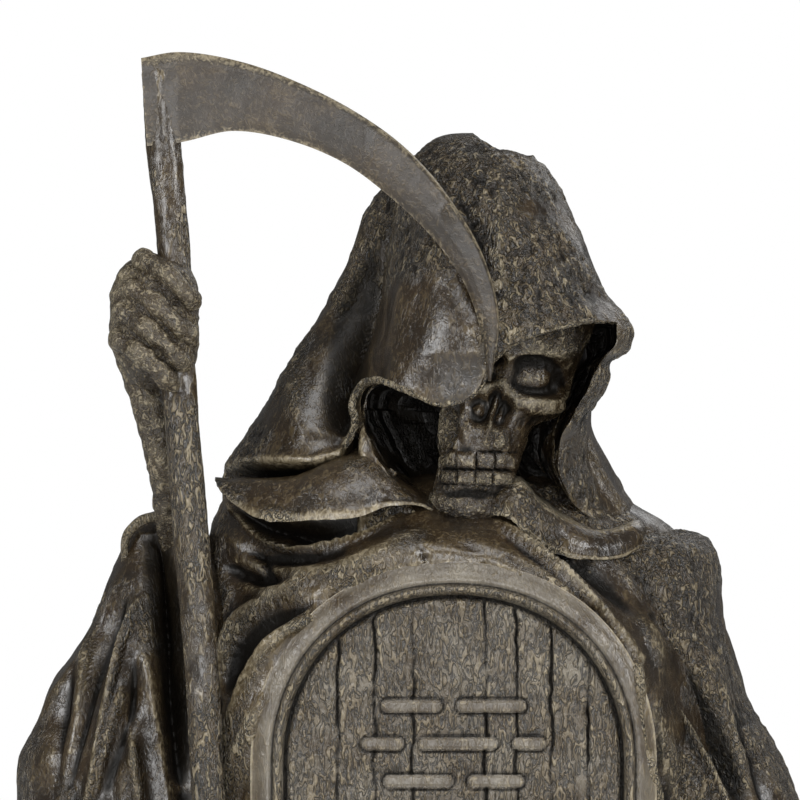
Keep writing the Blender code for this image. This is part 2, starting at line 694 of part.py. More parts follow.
def skull_relief(points, normals, angle):
    """Almond sockets with a lidded ball in each, cheekbones, the heart of the nose, and two rows of teeth."""
    x, z = points[..., 0], points[..., 2]
    side = np.abs(x)
    nose = x - JAW_MIDDLE
    front = smooth(0.0, 0.5, -normals[..., 1])
    height = -34 * bump(side, z, (30, 32), (33, 19))
    height += 24 * bump(side, z, (29, 30), (22, 11))
    height += 8 * bump(side, z, (32, 58), (36, 9))
    height += 8 * bump(side, z, (46, 3), (24, 9))
    height -= 20 * bump(side, z, (52, -52), (17, 30))
    height -= 20 * bump(np.abs(nose), z, (9, -18), (11, 16))
    height -= 14 * bump(nose, z, (0, -6), (9, 13))
    height += 9 * bump(nose, z, (1, -16), (2.5, 17))
    height += 11 * bump(nose, z, (-16, -20), (6, 9))
    height += 10 * bump(x, z, (-1, 26), (9, 24))
    height += tooth_row(x, z, BITE + UPPER_TEETH[1], *UPPER_TEETH)
    height += tooth_row(x, z, BITE, *LOWER_TEETH)
    height += 4 * bump(x, z, (10, -49), (5, 6))
    height -= 7 * bump(nose, z, (0, -101), (36, 6))
    return front * height


def make_skull():
    """The skull, modelled upright and then leaned into the hood."""
    points = loft(SKULL, 110, 150, 2.2, skull_relief)
    cos, sin = math.cos(SKULL_ROLL), math.sin(SKULL_ROLL)
    x, y, z = points[..., 0], points[..., 1], points[..., 2]
    leaned = np.stack([x * cos + z * sin, y, z * cos - x * sin], -1)
    return drawn("skull", leaned + np.array(SKULL_ORIGIN))


def make_staff():
    """The scythe's staff, a slightly uneven pole that leans to the left."""
    row = np.array(STAFF, float) * (1, 1, 1, STAFF_DIAMETER / 2 / U)
    return drawn("staff", sweep(row, 60, 14))


def make_blade():
    """The blade: thick along its back, thin at its edge, and bent forwards over the hood."""
    row = through(BLADE, 60)
    back, edge = row[:, :2], row[:, 2:]
    stations = np.array([(0, 0.7), (0.25, 1), (0.6, 0.9), (0.9, 0.5), (1, 0.22)])
    loop = np.vstack([stations * (1, -1), stations[::-1]])
    depth = np.array(BLADE_DEPTH, float)
    share, thick = loop[:, 0], loop[:, 1] * BLADE_THICKNESS / 2 / U
    x = back[:, :1] * (1 - share) + edge[:, :1] * share
    z = back[:, 1:] * (1 - share) + edge[:, 1:] * share
    y = np.interp(x, depth[:, 0], depth[:, 1]) + thick
    return drawn("blade", np.stack([x, y, z], -1))


def make_hand():
    """The left hand as seen from the front: four bony fingers round the staff, the wrist and the forearm."""
    made = [drawn("forearm", sweep(FOREARM, 40, 16))]
    for k, (knuckle, joint, tip) in enumerate(FINGERS):
        behind = (knuckle[0] + 6, -118, knuckle[1] - 6, 10)
        path = (
            behind,
            (knuckle[0], -146, knuckle[1], 12),
            ((knuckle[0] + joint[0]) / 2, -162, (knuckle[1] + joint[1]) / 2, 8.5),
            (joint[0], -172, joint[1], 11),
            ((tip[0] + joint[0]) / 2, -172, (tip[1] + joint[1]) / 2, 8.5),
            (tip[0], -156, tip[1], 9),
            (tip[0] + 2, -138, tip[1] - 4, 6),
        )
        made.append(drawn(f"finger_{k}", sweep(path, 30, 12)))
    made.append(drawn("palm", sweep(PALM, 20, 14)))
    made.append(drawn("thumb", sweep(THUMB, 20, 10)))
    return made


def make_figure_forms():
    """Every form of the figure, each a closed solid that runs into its neighbours."""
    made = [
        drawn("robe", loft(ROBE, 110, 150, 2.3, cloth_relief(ROBE_FOLDS), drawn_up_to_marker)),
        drawn("left_sleeve", loft(LEFT_SLEEVE, 110, 120, 2.3, cloth_relief(LEFT_SLEEVE_FOLDS))),
        drawn("right_sleeve", loft(RIGHT_SLEEVE, 110, 120, 2.3, cloth_relief(RIGHT_SLEEVE_FOLDS))),
    ]
    made += make_hood()
    made += [make_hem(), make_skull(), make_staff(), make_blade()]
    made += make_collar()
    made += make_hand()
    return made


def evaluated_copy(source, name):
    """The object's mesh as its modifiers leave it, as a new object."""
    graph = bpy.context.evaluated_depsgraph_get()
    mesh = bpy.data.meshes.new_from_object(source.evaluated_get(graph))
    made = bpy.data.objects.new(name, mesh)
    bpy.context.scene.collection.objects.link(made)
    return made


def drop_hidden_shells(body):
    """Removes every shell but the largest: what is left over are air pockets where forms run together."""
    waiting = set(body.verts)
    shells = []
    while waiting:
        front = [waiting.pop()]
        shell = list(front)
        while front:
            near = {e.other_vert(v) for v in front for e in v.link_edges} & waiting
            waiting -= near
            front = list(near)
            shell += front
        shells.append(shell)
    shells.sort(key=len)
    for shell in shells[:-1]:
        bmesh.ops.delete(body, geom=shell, context="VERTS")


def is_fine(place):
    """Whether a point is on the skull or the hand, which keep more of their faces."""
    z = (place.z - PLINTH_HEIGHT) / U
    x = place.x / U
    return place.y < 0 and any(a < x < b and c < z < d for a, b, c, d in FINE_ZONES)


def cast(forms, name):
    """One skin over all the forms, with a flat underside and few enough faces for a faceted solid."""
    joined = bmesh.new()
    for form in forms:
        copy = evaluated_copy(form, form.name + "_shape")
        joined.from_mesh(copy.data)
        bpy.data.objects.remove(copy)
    mesh = bpy.data.meshes.new(name + "_forms")
    joined.to_mesh(mesh)
    joined.free()
    rough = bpy.data.objects.new(name + "_forms", mesh)
    bpy.context.scene.collection.objects.link(rough)
    skin = rough.modifiers.new("skin", "REMESH")
    skin.mode = "VOXEL"
    skin.voxel_size = SKIN_CELL
    skinned = evaluated_copy(rough, name + "_skin")
    body = bmesh.new()
    body.from_mesh(skinned.data)
    whole = body.verts[:] + body.edges[:] + body.faces[:]
    cut = bmesh.ops.bisect_plane(body, geom=whole, plane_co=(0, 0, 0), plane_no=(0, 0, 1), clear_inner=True)
    rim = [e for e in cut["geom_cut"] if isinstance(e, bmesh.types.BMEdge)]
    bmesh.ops.contextual_create(body, geom=rim)
    drop_hidden_shells(body)
    bmesh.ops.triangulate(body, faces=body.faces)
    body.to_mesh(skinned.data)
    body.free()
    plain = skinned.vertex_groups.new(name="plain")
    for vertex in skinned.data.vertices:
        plain.add([vertex.index], FINE_WEIGHT if is_fine(vertex.co) else 1.0, "REPLACE")
    thin = skinned.modifiers.new("fewer_faces", "DECIMATE")
    thin.ratio = SKIN_TRIANGLES / len(skinned.data.polygons)
    thin.vertex_group = "plain"
    thin.vertex_group_factor = WEIGHT_FORCE
    done = evaluated_copy(skinned, name)
    points = np.empty(len(done.data.vertices) * 3)
    done.data.vertices.foreach_get("co", points)
    points = points.reshape(-1, 3)
    points[np.abs(points[:, 2]) < SKIN_CELL / 4, 2] = 0
    centre = (points[:, :2].max(0) + points[:, :2].min(0)) / 2
    points[:, :2] -= centre
    done.data.vertices.foreach_set("co", points.ravel())
    for leftover in (rough, skinned):
        bpy.data.objects.remove(leftover)
    for form in forms:
        bpy.data.objects.remove(form)
    return done


def antique_resin():
    """Cast resin painted a dark bronze grey, with the paint rubbed back on what stands out."""
    made = bpy.data.materials.new("antique_resin")
    made.use_nodes = True
    shader = made.node_tree.nodes["Principled BSDF"]
    shader.inputs["Base Color"].default_value = (0.085, 0.072, 0.055, 1)
    shader.inputs["Roughness"].default_value = 0.5
    shader.inputs["Metallic"].default_value = 0.0
    return made


def main():
    for old in list(bpy.data.objects):
        bpy.data.objects.remove(old)
    forms = [make_plinth(), make_marker()] + make_inscription() + make_figure_forms()
    statue = cast(forms, "reaper_statue")
    for hollow in [o for o in bpy.data.objects if o.hide_render]:
        bpy.data.objects.remove(hollow)
    statue.data.materials.clear()
    statue.data.materials.append(antique_resin())
    statue.data.shade_smooth()
    statue.data.set_sharp_from_angle(angle=math.radians(50))


if __name__ == "__main__":
    main()
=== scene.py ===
"""The looks of the reaper statue: a cast resin figure, painted dark and rubbed back to a worn bronze grey.

Every piece is a surface worked out with numpy in the figure's own units, which are shares of its height:
x runs to the right of the middle line, z up from the top of the plinth, and the front faces -y.
"""

import math

import bpy
import numpy as np
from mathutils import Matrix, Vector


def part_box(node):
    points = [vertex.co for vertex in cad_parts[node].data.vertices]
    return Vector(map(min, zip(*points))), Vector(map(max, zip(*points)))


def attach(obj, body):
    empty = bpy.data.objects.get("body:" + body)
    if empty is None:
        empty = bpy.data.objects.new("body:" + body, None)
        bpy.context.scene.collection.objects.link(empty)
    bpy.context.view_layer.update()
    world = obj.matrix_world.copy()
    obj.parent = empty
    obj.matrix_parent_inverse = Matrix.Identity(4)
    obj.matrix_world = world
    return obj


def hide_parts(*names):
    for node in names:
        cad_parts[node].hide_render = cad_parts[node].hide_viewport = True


bl_info = {
    "name": "Reaper Statue Finish",
    "version": (1, 0, 0),
    "blender": (4, 5, 0),
    "location": "3D View > Sidebar > Reaper",
    "description": "Models and finishes a hooded reaper statue cast in resin",
    "category": "Add Mesh",
}

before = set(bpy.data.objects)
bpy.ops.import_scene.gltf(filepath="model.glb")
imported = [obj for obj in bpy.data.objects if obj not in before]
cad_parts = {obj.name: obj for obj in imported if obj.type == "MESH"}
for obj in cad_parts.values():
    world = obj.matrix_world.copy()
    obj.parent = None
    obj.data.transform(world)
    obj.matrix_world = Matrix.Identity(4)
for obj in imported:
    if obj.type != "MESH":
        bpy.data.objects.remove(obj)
NODE = "reaper_statue"
LOW, HIGH = (np.array(corner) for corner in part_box(NODE))
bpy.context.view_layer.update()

FIGURE_HEIGHT = 0.535  # plinth top to the top of the scythe blade
DRAWN_HEIGHT = 1163  # units in the figure's height
PLINTH_HEIGHT = 0.019
DRAWING_DISTANCE = 1.8  # the figure is drawn as seen from this far in front
DRAWING_MIDDLE = (-30, 815)  # and from this x and z
U = FIGURE_HEIGHT / DRAWN_HEIGHT  # metres in a unit
ARCH_POWER = 2.15  # of the superellipse that the marker's arch is half of
CLOTH_POWER = 2.3  # of the superellipses round the robe, the sleeves and the fist
DRAPE_POWER = 2.4
HEAD_POWER = 2.8
SKULL_POWER = 2.2
PLINTH_POWER = 5.0
SWELL_REACH = 34  # how far from the marker the robe starts to come forward to it
BRIM_TUCK = 3
PICTURE_SPAN = 0.368  # width that the camera sees at the figure's middle plane
SENSOR = 36  # millimetres
LACQUER_IOR = 1.7  # resin has about 1.55, and its thick lacquer glints harder

# Rows of a form, bottom to top: z, left, right, front, back.
ROBE = (
    (-14, -362, 395, -184, 205), (65, -345, 385, -174, 195), (215, -318, 368, -160, 182),
    (415, -270, 335, -148, 166), (515, -250, 318, -141, 158), (615, -232, 286, -130, 150),
    (655, -226, 268, -124, 148), (690, -216, 236, -120, 142), (712, -208, 200, -108, 136),
    (730, -190, 170, -88, 120), (742, -150, 130, -50, 80), (745, -20, 10, -10, 10),
)
LEFT_SLEEVE = (
    (-14, -425, -170, -162, 172), (165, -420, -166, -148, 152), (315, -416, -160, -132, 134),
    (415, -412, -160, -122, 122), (459, -411, -160, -118, 118), (476, -402, -162, -115, 115),
    (489, -394, -165, -113, 113), (531, -378, -172, -106, 106), (583, -341, -184, -95, 95),
    (639, -319, -204, -80, 75), (665, -309, -214, -68, 60), (683, -304, -224, -58, 46),
    (694, -297, -232, -48, 34), (700, -286, -242, -30, 16), (702, -268, -262, -8, -4),
)
RIGHT_SLEEVE = (
    (-14, 160, 427, -168, 176), (165, 155, 418, -156, 163), (315, 150, 396, -143, 149),
    (415, 150, 368, -134, 140), (470, 154, 344, -127, 132), (500, 158, 324, -121, 124),
    (552, 164, 303, -114, 115), (601, 171, 292, -104, 105), (645, 158, 290, -98, 92),
    (663, 154, 286, -90, 80), (674, 158, 278, -76, 66), (681, 172, 266, -54, 46),
    (685, 202, 248, -22, 22), (686, 220, 230, -4, 4),
)
HOOD_DRAPE = (
    (640, -176, 190, -124, 150), (665, -195, 212, -130, 160), (692, -205, 212, -127, 160),
    (726, -209, 193, -122, 158), (749, -204, 180, -118, 156), (795, -176, 160, -106, 152),
    (865, -130, 168, -92, 146), (919, -99, 165, -80, 140), (969, -77, 155, -70, 133),
    (1001, -65, 142, -62, 125), (1025, -49, 130, -54, 114), (1050, -32, 112, -40, 90),
    (1062, 0, 85, -16, 50), (1065, 38, 46, 15, 22),
)
HOOD_HEAD = (
    (672, -56, 190, -96, 108), (700, -64, 186, -110, 114), (728, -70, 174, -128, 120),
    (758, -76, 160, -150, 124), (790, -80, 159, -172, 128), (811, -82, 173, -182, 130),
    (831, -77, 186, -186, 132), (853, -68, 190, -190, 134), (866, -63, 210, -194, 136),
    (884, -56, 216, -194, 138), (899, -53, 206, -190, 138), (925, -48, 184, -180, 136),
    (969, -41, 162, -166, 130), (1002, -35, 145, -152, 122), (1025, -30, 131, -138, 112),
    (1050, -22, 116, -116, 98), (1064, -10, 100, -92, 82), (1077, 7, 73, -62, 58),
    (1081, 20, 60, -34, 32), (1082, 32, 49, -10, 10),
)
SKULL = (
    (-130, -8, 0, -50, -40), (-129, -26, 16, -72, -20), (-125, -36, 27, -78, 0),
    (-116, -43, 35, -82, 10), (-100, -40, 34, -78, 16), (-80, -42, 35, -78, 18),
    (-55, -49, 36, -80, 20), (-34, -52, 37, -78, 24), (-22, -54, 39, -77, 25),
    (-13, -62, 50, -75, 27), (-4, -69, 63, -74, 28), (14, -71, 66, -73, 32), (42, -71, 67, -78, 38),
    (62, -73, 69, -84, 44), (100, -78, 76, -78, 50), (135, -68, 66, -54, 44),
    (152, -42, 40, -26, 24), (155, -8, 6, -8, 8),
)
SKULL_ORIGIN = (70, -68, 820)
HEAD_LEAN = math.radians(14.6)  # its crown to the right, its chin to the left
BITE = -78  # where the jaws meet
UPPER_TEETH = (20, 18)  # width and height of a tooth
LOWER_TEETH = (18, 15)
JAW_MIDDLE = -5
TEETH_SLOPE = 0.22  # the jaws bite level though the head leans

# The rolled edge of the hood round the face, clockwise from the left cheek: x, z, radius.
HEM = (
    (-93, 761, 3), (-82, 774, 4), (-75, 796, 4), (-78, 808, 4), (-71, 827, 4), (-51, 835, 3.5),
    (-18, 822, 3.5), (16, 811, 3), (48, 824, 2), (64, 855, 2.2), (99, 879, 3), (151, 893, 3.2),
    (194, 895, 3),
)
# The outline of the hollow round the face, clockwise from the left cheek: x, z.
FACE_OPENING = (
    (-73, 808), (-66, 826), (-50, 832), (-18, 821), (16, 810), (45, 822), (61, 851), (99, 877),
    (151, 890), (184, 889), (184, 874), (168, 852), (156, 826), (138, 794), (127, 755), (142, 713),
    (176, 686), (130, 699), (90, 727), (73, 693), (40, 687), (-5, 697), (-32, 725), (-58, 763),
)
OPENING_CENTRE = (60, 800)
# Each stage of the hollow, front to back: its y, and its share of the outline.
OPENING_STAGES = (
    (-320, 1.0), (-200, 1.0), (-150, 1.0), (-120, 1.0), (-100, 0.98), (-80, 0.94), (-64, 0.85),
    (-50, 0.72), (-40, 0.55), (-32, 0.35), (-28, 0.1),
)

# Folds: three points (x, z) on the crest, its half width, and its height (below zero for a valley).
ROBE_FOLDS = (
    ((-214, 730), (-140, 667), (-30, 703), 4, 15),
    ((-204, 712), (-130, 683), (-40, 710), 12, -30),
    ((-201, 681), (-130, 640), (-4, 688), 7, 9),
    ((-196, 668), (-150, 655), (-90, 664), 6, -8),
    ((-200, 655), (-190, 640), (-150, 632), 8, -12),
    ((-192, 640), (-160, 622), (-118, 640), 6, 8),
    ((-168, 652), (-160, 642), (-155, 632), 5, -12),
    ((-130, 625), (-195, 565), (-208, 415), 9, 12),
    ((-162, 612), (-197, 577), (-205, 495), 6, 9),
    ((-108, 597), (-172, 552), (-206, 430), 5, 13),
    ((-112, 614), (-186, 566), (-218, 440), 8, -18),
    ((-170, 510), (-196, 440), (-215, 300), 10, 10),
    ((68, 691), (140, 639), (209, 558), 5, 14),
    ((80, 676), (146, 628), (203, 556), 5, -12),
    ((50, 670), (101, 633), (160, 585), 6, 6),
    ((20, 672), (76, 655), (130, 612), 5, -5),
    ((90, 692), (150, 656), (214, 596), 8, -18),
    ((184, 633), (215, 590), (232, 545), 7, 10),
    ((209, 556), (214, 488), (240, 372), 6, 14),
    ((222, 515), (229, 460), (254, 360), 7, -24),
    ((-8, 668), (-6, 656), (-5, 644), 3, -7),
    ((-34, 640), (-20, 638), (-4, 644), 3, -5),
    ((-95, 622), (-96, 608), (-92, 592), 3, -7),
    ((52, 655), (54, 640), (52, 622), 3, -6),
)
LEFT_SLEEVE_FOLDS = (
    ((-289, 620), (-318, 535), (-352, 360), 3.6, 13),
    ((-309, 530), (-296, 450), (-276, 280), 7, 9),
    ((-309, 526), (-324, 470), (-338, 400), 6, 8),
    ((-309, 500), (-309, 450), (-306, 380), 10, 6),
    ((-286, 566), (-274, 505), (-258, 400), 8, 9),
    ((-313, 640), (-340, 575), (-356, 470), 7, 9),
    ((-303, 622), (-331, 550), (-360, 430), 6, -14),
    ((-296, 560), (-300, 500), (-320, 430), 7, -12),
    ((-278, 690), (-262, 590), (-246, 420), 16, -44),
    ((-346, 573), (-368, 531), (-396, 480), 6, 8),
    ((-350, 560), (-366, 510), (-374, 420), 6, -8),
    ((-300, 400), (-318, 250), (-340, 20), 13, 12),
    ((-350, 380), (-380, 220), (-400, 10), 14, 12),
    ((-330, 400), (-355, 250), (-372, 20), 10, -14),
)
RIGHT_SLEEVE_FOLDS = (
    ((224, 540), (272, 468), (322, 350), 5, 15),
    ((240, 519), (268, 480), (305, 415), 4, 7),
    ((228, 562), (270, 504), (320, 405), 16, -44),
    ((209, 558), (214, 490), (238, 370), 6, 14),
    ((220, 520), (229, 460), (254, 360), 8, -24),
    ((213, 592), (222, 577), (228, 556), 6, -20),
    ((200, 575), (216, 586), (232, 572), 5, 10),
    ((200, 560), (218, 566), (236, 556), 5, -9),
    ((222, 640), (236, 600), (250, 560), 10, 7),
    ((248, 560), (292, 500), (330, 420), 12, 9),
    ((270, 575), (312, 455), (362, 250), 13, 9),
    ((300, 520), (330, 440), (352, 360), 7, -12),
    ((250, 380), (278, 220), (300, 10), 13, 12),
    ((300, 380), (340, 220), (372, 10), 15, 13),
    ((280, 390), (312, 230), (338, 10), 10, -16),
    ((352, 330), (388, 200), (408, 10), 12, 10),
)
HOOD_FOLDS = (
    ((-58, 1000), (-116, 885), (-172, 775), 13, 9),
    ((-84, 930), (-140, 830), (-196, 752), 7, -5),
    ((-48, 1006), (-72, 900), (-94, 778), 18, -64),
    ((-33, 1016), (-51, 905), (-78, 815), 5, 12),
    ((-122, 890), (-136, 840), (-122, 770), 16, 7),
    ((10, 1045), (48, 975), (60, 885), 18, -10),
    ((-38, 960), (-40, 900), (-60, 845), 8, 5),
    ((-10, 1000), (-14, 920), (-30, 850), 12, -5),
    ((75, 1070), (68, 980), (80, 900), 14, 5),
    ((110, 1020), (140, 950), (180, 905), 10, -4),
    ((148, 800), (168, 745), (200, 700), 8, 6),
)
BACK_FOLDS = 15  # hanging folds round a form
BACK_FOLD_DEPTH = 13

# Strips of cloth: top x, y, z, bottom x, y, z, how far it bellies out, and how thick it is.
COWL_LEFT = (
    (-215, -74, 735, -213, -88, 728, 1, 10),
    (-192, -58, 732, -197, -112, 713, 14, 14),
    (-160, -56, 731, -168, -136, 695, 22, 18),
    (-130, -60, 734, -132, -148, 693, 24, 20),
    (-92, -78, 755, -100, -152, 695, 22, 22),
    (-62, -92, 766, -74, -152, 697, 15, 24),
    (-44, -96, 750, -36, -142, 709, 7, 30),
    (-30, -92, 737, -18, -134, 709, 4, 26),
    (10, -90, 714, 12, -124, 700, 2, 22),
)
LIP_RIGHT = (
    (40, -96, 712, 36, -118, 698, 1, 18),
    (66, -116, 728, 58, -136, 700, 3, 22),
    (88, -130, 733, 78, -150, 696, 5, 24),
    (111, -128, 712, 101, -146, 677, 6, 24),
    (130, -120, 699, 122, -138, 664, 6, 24),
    (151, -114, 689, 150, -132, 656, 6, 26),
    (172, -104, 683, 172, -122, 654, 6, 28),
    (192, -92, 686, 192, -108, 658, 5, 28),
    (207, -74, 690, 209, -86, 668, 4, 26),
    (213, -52, 690, 214, -58, 680, 2, 20),
)
# The rolled rim of the left sleeve: x, y, z, radius.
SLEEVE_RIM = (
    (-306, -36, 652, 3), (-303, -48, 680, 4.5), (-289, -53, 694, 5), (-268, -48, 699, 5),
    (-250, -34, 692, 4),
)
# The staff's middle line: x, y, z, and its share of the diameter.
STAFF = (
    (-272, -118, 1158, 1.05), (-266, -120, 1065, 0.99), (-256, -131, 965, 0.95),
    (-250, -143, 815, 1.0), (-242, -150, 715, 1.03), (-234, -158, 615, 1.05),
    (-227, -165, 515, 0.97), (-221, -171, 415, 1.0), (-196, -185, -8, 1.04),
)
# The blade from its heel to its point: the back's x and z, and the cutting edge's.
BLADE = (
    (-289, 1157, -283, 1069), (-252, 1163, -248, 1073), (-188, 1153, -196, 1084),
    (-126, 1130, -142, 1075), (-66, 1098, -86, 1052), (-20, 1063, -41, 1019), (21, 1015, 1, 979),
    (55, 955, 33, 934), (69, 893, 50, 887), (61, 834, 58, 834),
)
BLADE_DEPTH = ((-252, -130), (-66, -150), (0, -172), (62, -196))  # x and y of its middle plane
# The fingers over the staff, top to bottom: knuckle, middle joint and tip, each x and z.
FINGERS = (
    ((-288, 955), (-262, 940), (-236, 914)),
    ((-302, 928), (-274, 911), (-240, 880)),
    ((-309, 902), (-282, 886), (-245, 852)),
    ((-312, 875), (-290, 862), (-258, 832)),
)
# The forearm and the heel of the hand: x, y, z, radius.
FOREARM = (
    (-296, -108, 880, 24), (-294, -112, 850, 18), (-282, -112, 815, 17.5), (-270, -112, 765, 16),
    (-265, -98, 724, 13), (-262, -62, 688, 12), (-256, -14, 656, 12), (-250, 30, 630, 13),
)
# The fist round the staff: z, left, right, front, back.
FIST = (
    (824, -282, -272, -130, -118), (829, -296, -262, -142, -112), (838, -302, -246, -158, -106),
    (850, -307, -236, -169, -102), (865, -312, -232, -174, -98), (880, -314, -231, -176, -96),
    (895, -312, -231, -177, -96), (911, -310, -230, -176, -96), (926, -304, -232, -174, -98),
    (939, -298, -236, -170, -102), (949, -292, -243, -163, -108), (957, -288, -262, -152, -116),
    (961, -284, -274, -140, -128),
)
PALM = ((-286, -128, 956, 19), (-294, -134, 920, 25), (-296, -132, 884, 25), (-294, -116, 846, 18))
MARKER_AXIS = 21  # x of the marker's middle line
PLANK_JOINTS = (-110, -75, -39, 30, 60, 93, 128)  # from the marker's middle line
STROKES = ((0.026, 0.030), (0.018, 0.034, 0.014), (0.030, 0.024))  # length of each stroke, row by row
# The plinth's side from below to its top: share of its half width, and of its height.
PLINTH_PROFILE = (
    (0.2, 0), (0.9, 0), (1, 0), (1, 0.2), (1, 0.45), (0.992, 0.7), (0.972, 0.88), (0.94, 1.0),
    (0.8, 1.0), (0.6, 1.0), (0.2, 1.0),
)
# The finish of each kind of piece: its coat, how its lumps are drawn out along x, y and z, their size in
# millimetres, the brush's share of tan, the lacquer's roughness, and the relief's depth as lumps.
FINISHES = {
    "cloth": ("body", (1, 1, 0.6), 2.8, 1.0, 0.22, 1.3),
    "bone": ("bone", (1, 1, 1), 2.2, 0.5, 0.24, 1.2),
    "hand": ("bone", (1, 1, 1), 2.2, 0.5, 0.24, 1.2),
    "staff": ("steel", (1, 1, 0.4), 2.6, 0.5, 0.24, 1.1),
    "blade": ("steel", (1, 1, 1), 2.6, 0.55, 0.40, 0.7),
    # The marker's coat carries a painted sheen.
    "marker": ("marker_coat_and_sheen", (1, 1, 0.36), 2.4, 0.8, 0.28, 1.0),
    "earth": ("body", (1, 1, 1), 3.0, 1.0, 0.5, 1.3),
}
# Lamps: name, place, width of the square in metres, power in watts.
LAMPS = (
    ("front", (0.05, -2.5, 0.35), 1.1, 19),
    ("left", (-1.5, -1.3, 1.0), 0.9, 16),
    ("right", (1.5, -1.2, 1.1), 0.9, 19),
    ("top", (0.1, -0.9, 1.9), 1.0, 10),
    ("rear", (0.8, 1.6, 1.4), 0.9, 4),
)
FLOOR_REACH = 1.9


def length(name, description, default, low=0.0, high=1.0):
    """A property for a length in metres."""
    return bpy.props.FloatProperty(
        name=name, description=description, default=default, min=low, max=high, unit="LENGTH"
    )


class StatueSizes(bpy.types.PropertyGroup):
    """Sizes of the pieces that a maker would measure."""

    marker_width: length("Marker width", "Across the grave marker", 0.178, 0.12, 0.25)
    marker_height: length("Marker height", "From the plinth to the crown of its arch", 0.304, 0.2, 0.35)
    marker_thickness: length("Marker thickness", "Front to back", 0.055, 0.02, 0.1)
    marker_front: length("Marker front", "Its face in front of the middle plane", 0.091, 0.05, 0.12)
    band: length("Border", "Plain border outside the bead", 0.0095, 0.001, 0.03)
    bead: length("Bead", "Width of the raised bead", 0.0042, 0.001, 0.02)
    groove: length("Groove", "Width of the groove inside it", 0.003, 0.001, 0.02)
    recess: length("Recess", "How far the planked field lies back", 0.003, 0, 0.02)
    edge_round: length("Edge round", "Fall of the border at the outline", 0.004, 0, 0.01)
    stroke_height: length("Stroke height", "Height of the strokes on the marker", 0.0052, 0.001, 0.02)
    stroke_rise: length("Stroke rise", "How far the strokes stand out", 0.0012, 0, 0.01)
    row_pitch: length("Row pitch", "From one row of strokes to the next", 0.0165, 0.005, 0.05)
    first_row: length("First row", "Height of the first row above the plinth", 0.241, 0.05, 0.3)
    stroke_gap: length("Stroke gap", "Between the strokes of a row", 0.007, 0, 0.03)
    staff: length("Staff diameter", "Across the scythe's staff", 0.0158, 0.005, 0.03)
    blade: length("Blade thickness", "Along the back of the blade", 0.006, 0.001, 0.02)


def linear(code):
    """A hex sRGB colour as linear RGB and full alpha."""
    parts = [int(code[k : k + 2], 16) / 255 for k in (1, 3, 5)]
    return tuple(c / 12.92 if c <= 0.04045 else ((c + 0.055) / 1.055) ** 2.4 for c in parts) + (1.0,)


def colour(name, description, code):
    """A colour property whose default is a hex sRGB colour."""
    return bpy.props.FloatVectorProperty(
        name=name, description=description, subtype="COLOR", size=4, min=0, max=1, default=linear(code)
    )


class StatueFinish(bpy.types.PropertyGroup):
    """Colours of the painted resin."""

    # Near-black paint: the wash in the hollows, and painted shade in hollows, creases, undersides and the
    # face hollow.
    wash_and_shade: colour("Wash", "Black-brown paint left in the hollows", "#0b0906")
    body: colour("Body", "Dark coat over everything", "#241e17")
    warm: colour("Warm body", "The same coat where it is browner", "#35291b")
    brushed: colour("Brushed", "Tan paint dragged over what stands out", "#75664b")
    # Pale paint on the sharpest edges and lumps: rubbed wear, and painted highlight where ridges catch the
    # light.
    worn_and_highlit: colour("Worn", "Where the edges are rubbed bright", "#a89c82")
    steel: colour("Blade", "Grey-brown coat of the blade", "#2d2720")
    bone: colour("Bone", "Coat of the skull and the hand", "#2e251a")
    # Lighter than the marker's paint would be: its own grey with a painted sheen for the reflection on its
    # face.
    marker_coat_and_sheen: colour("Marker", "Lighter coat of the grave marker", "#7f7768")
    floor: colour("Floor", "Pale studio floor", "#f2f2f0")


def sizes():
    """The sizes set in the scene."""
    return bpy.context.scene.statue_sizes


def finish():
    """The colours set in the scene."""
    return bpy.context.scene.statue_finish


# Numbers


def smooth(edge0, edge1, value):
    """0 below edge0, 1 above edge1, and an S between them."""
    t = np.clip((value - edge0) / (edge1 - edge0), 0, 1)
    return t * t * (3 - 2 * t)


def lattice(cell):
    """A fixed value from -1 to 1 for each whole-numbered cell: the fraction of a large sine."""
    mixed = np.sin(cell @ np.array([127.1, 311.7, 74.7])) * 43758.5453
    return 2 * (mixed - np.floor(mixed)) - 1


def noise(points, size, stretch=(1, 1, 1), seed=0.0):
    """Smooth noise from -1 to 1 with lumps about size across: lattice values blended by S curves."""
    place = points / (size * np.array(stretch, float)) + 17.3 * seed
    cell = np.floor(place)
    t = place - cell
    t = t * t * (3 - 2 * t)
    total = 0
    for corner in np.ndindex(2, 2, 2):
        weight = np.prod(np.where(np.array(corner) == 1, t, 1 - t), axis=-1)
        total = total + weight * lattice(cell + corner)
    return total


def rough(points, size, octaves=3, stretch=(1, 1, 1), seed=0.0):
    """Noise summed over octaves, each half the size and strength of the last."""
    return sum(noise(points, size / 2**k, stretch, seed + k) / 2**k for k in range(octaves))


def axes(points):
    """The x, y and z of points, each as an array of its own."""
    return np.moveaxis(points, -1, 0)


def run_along(rows):
    """How far each row is along the rows' own curve."""
    return np.concatenate([[0], np.cumsum(np.linalg.norm(np.diff(rows, axis=0), axis=1))])


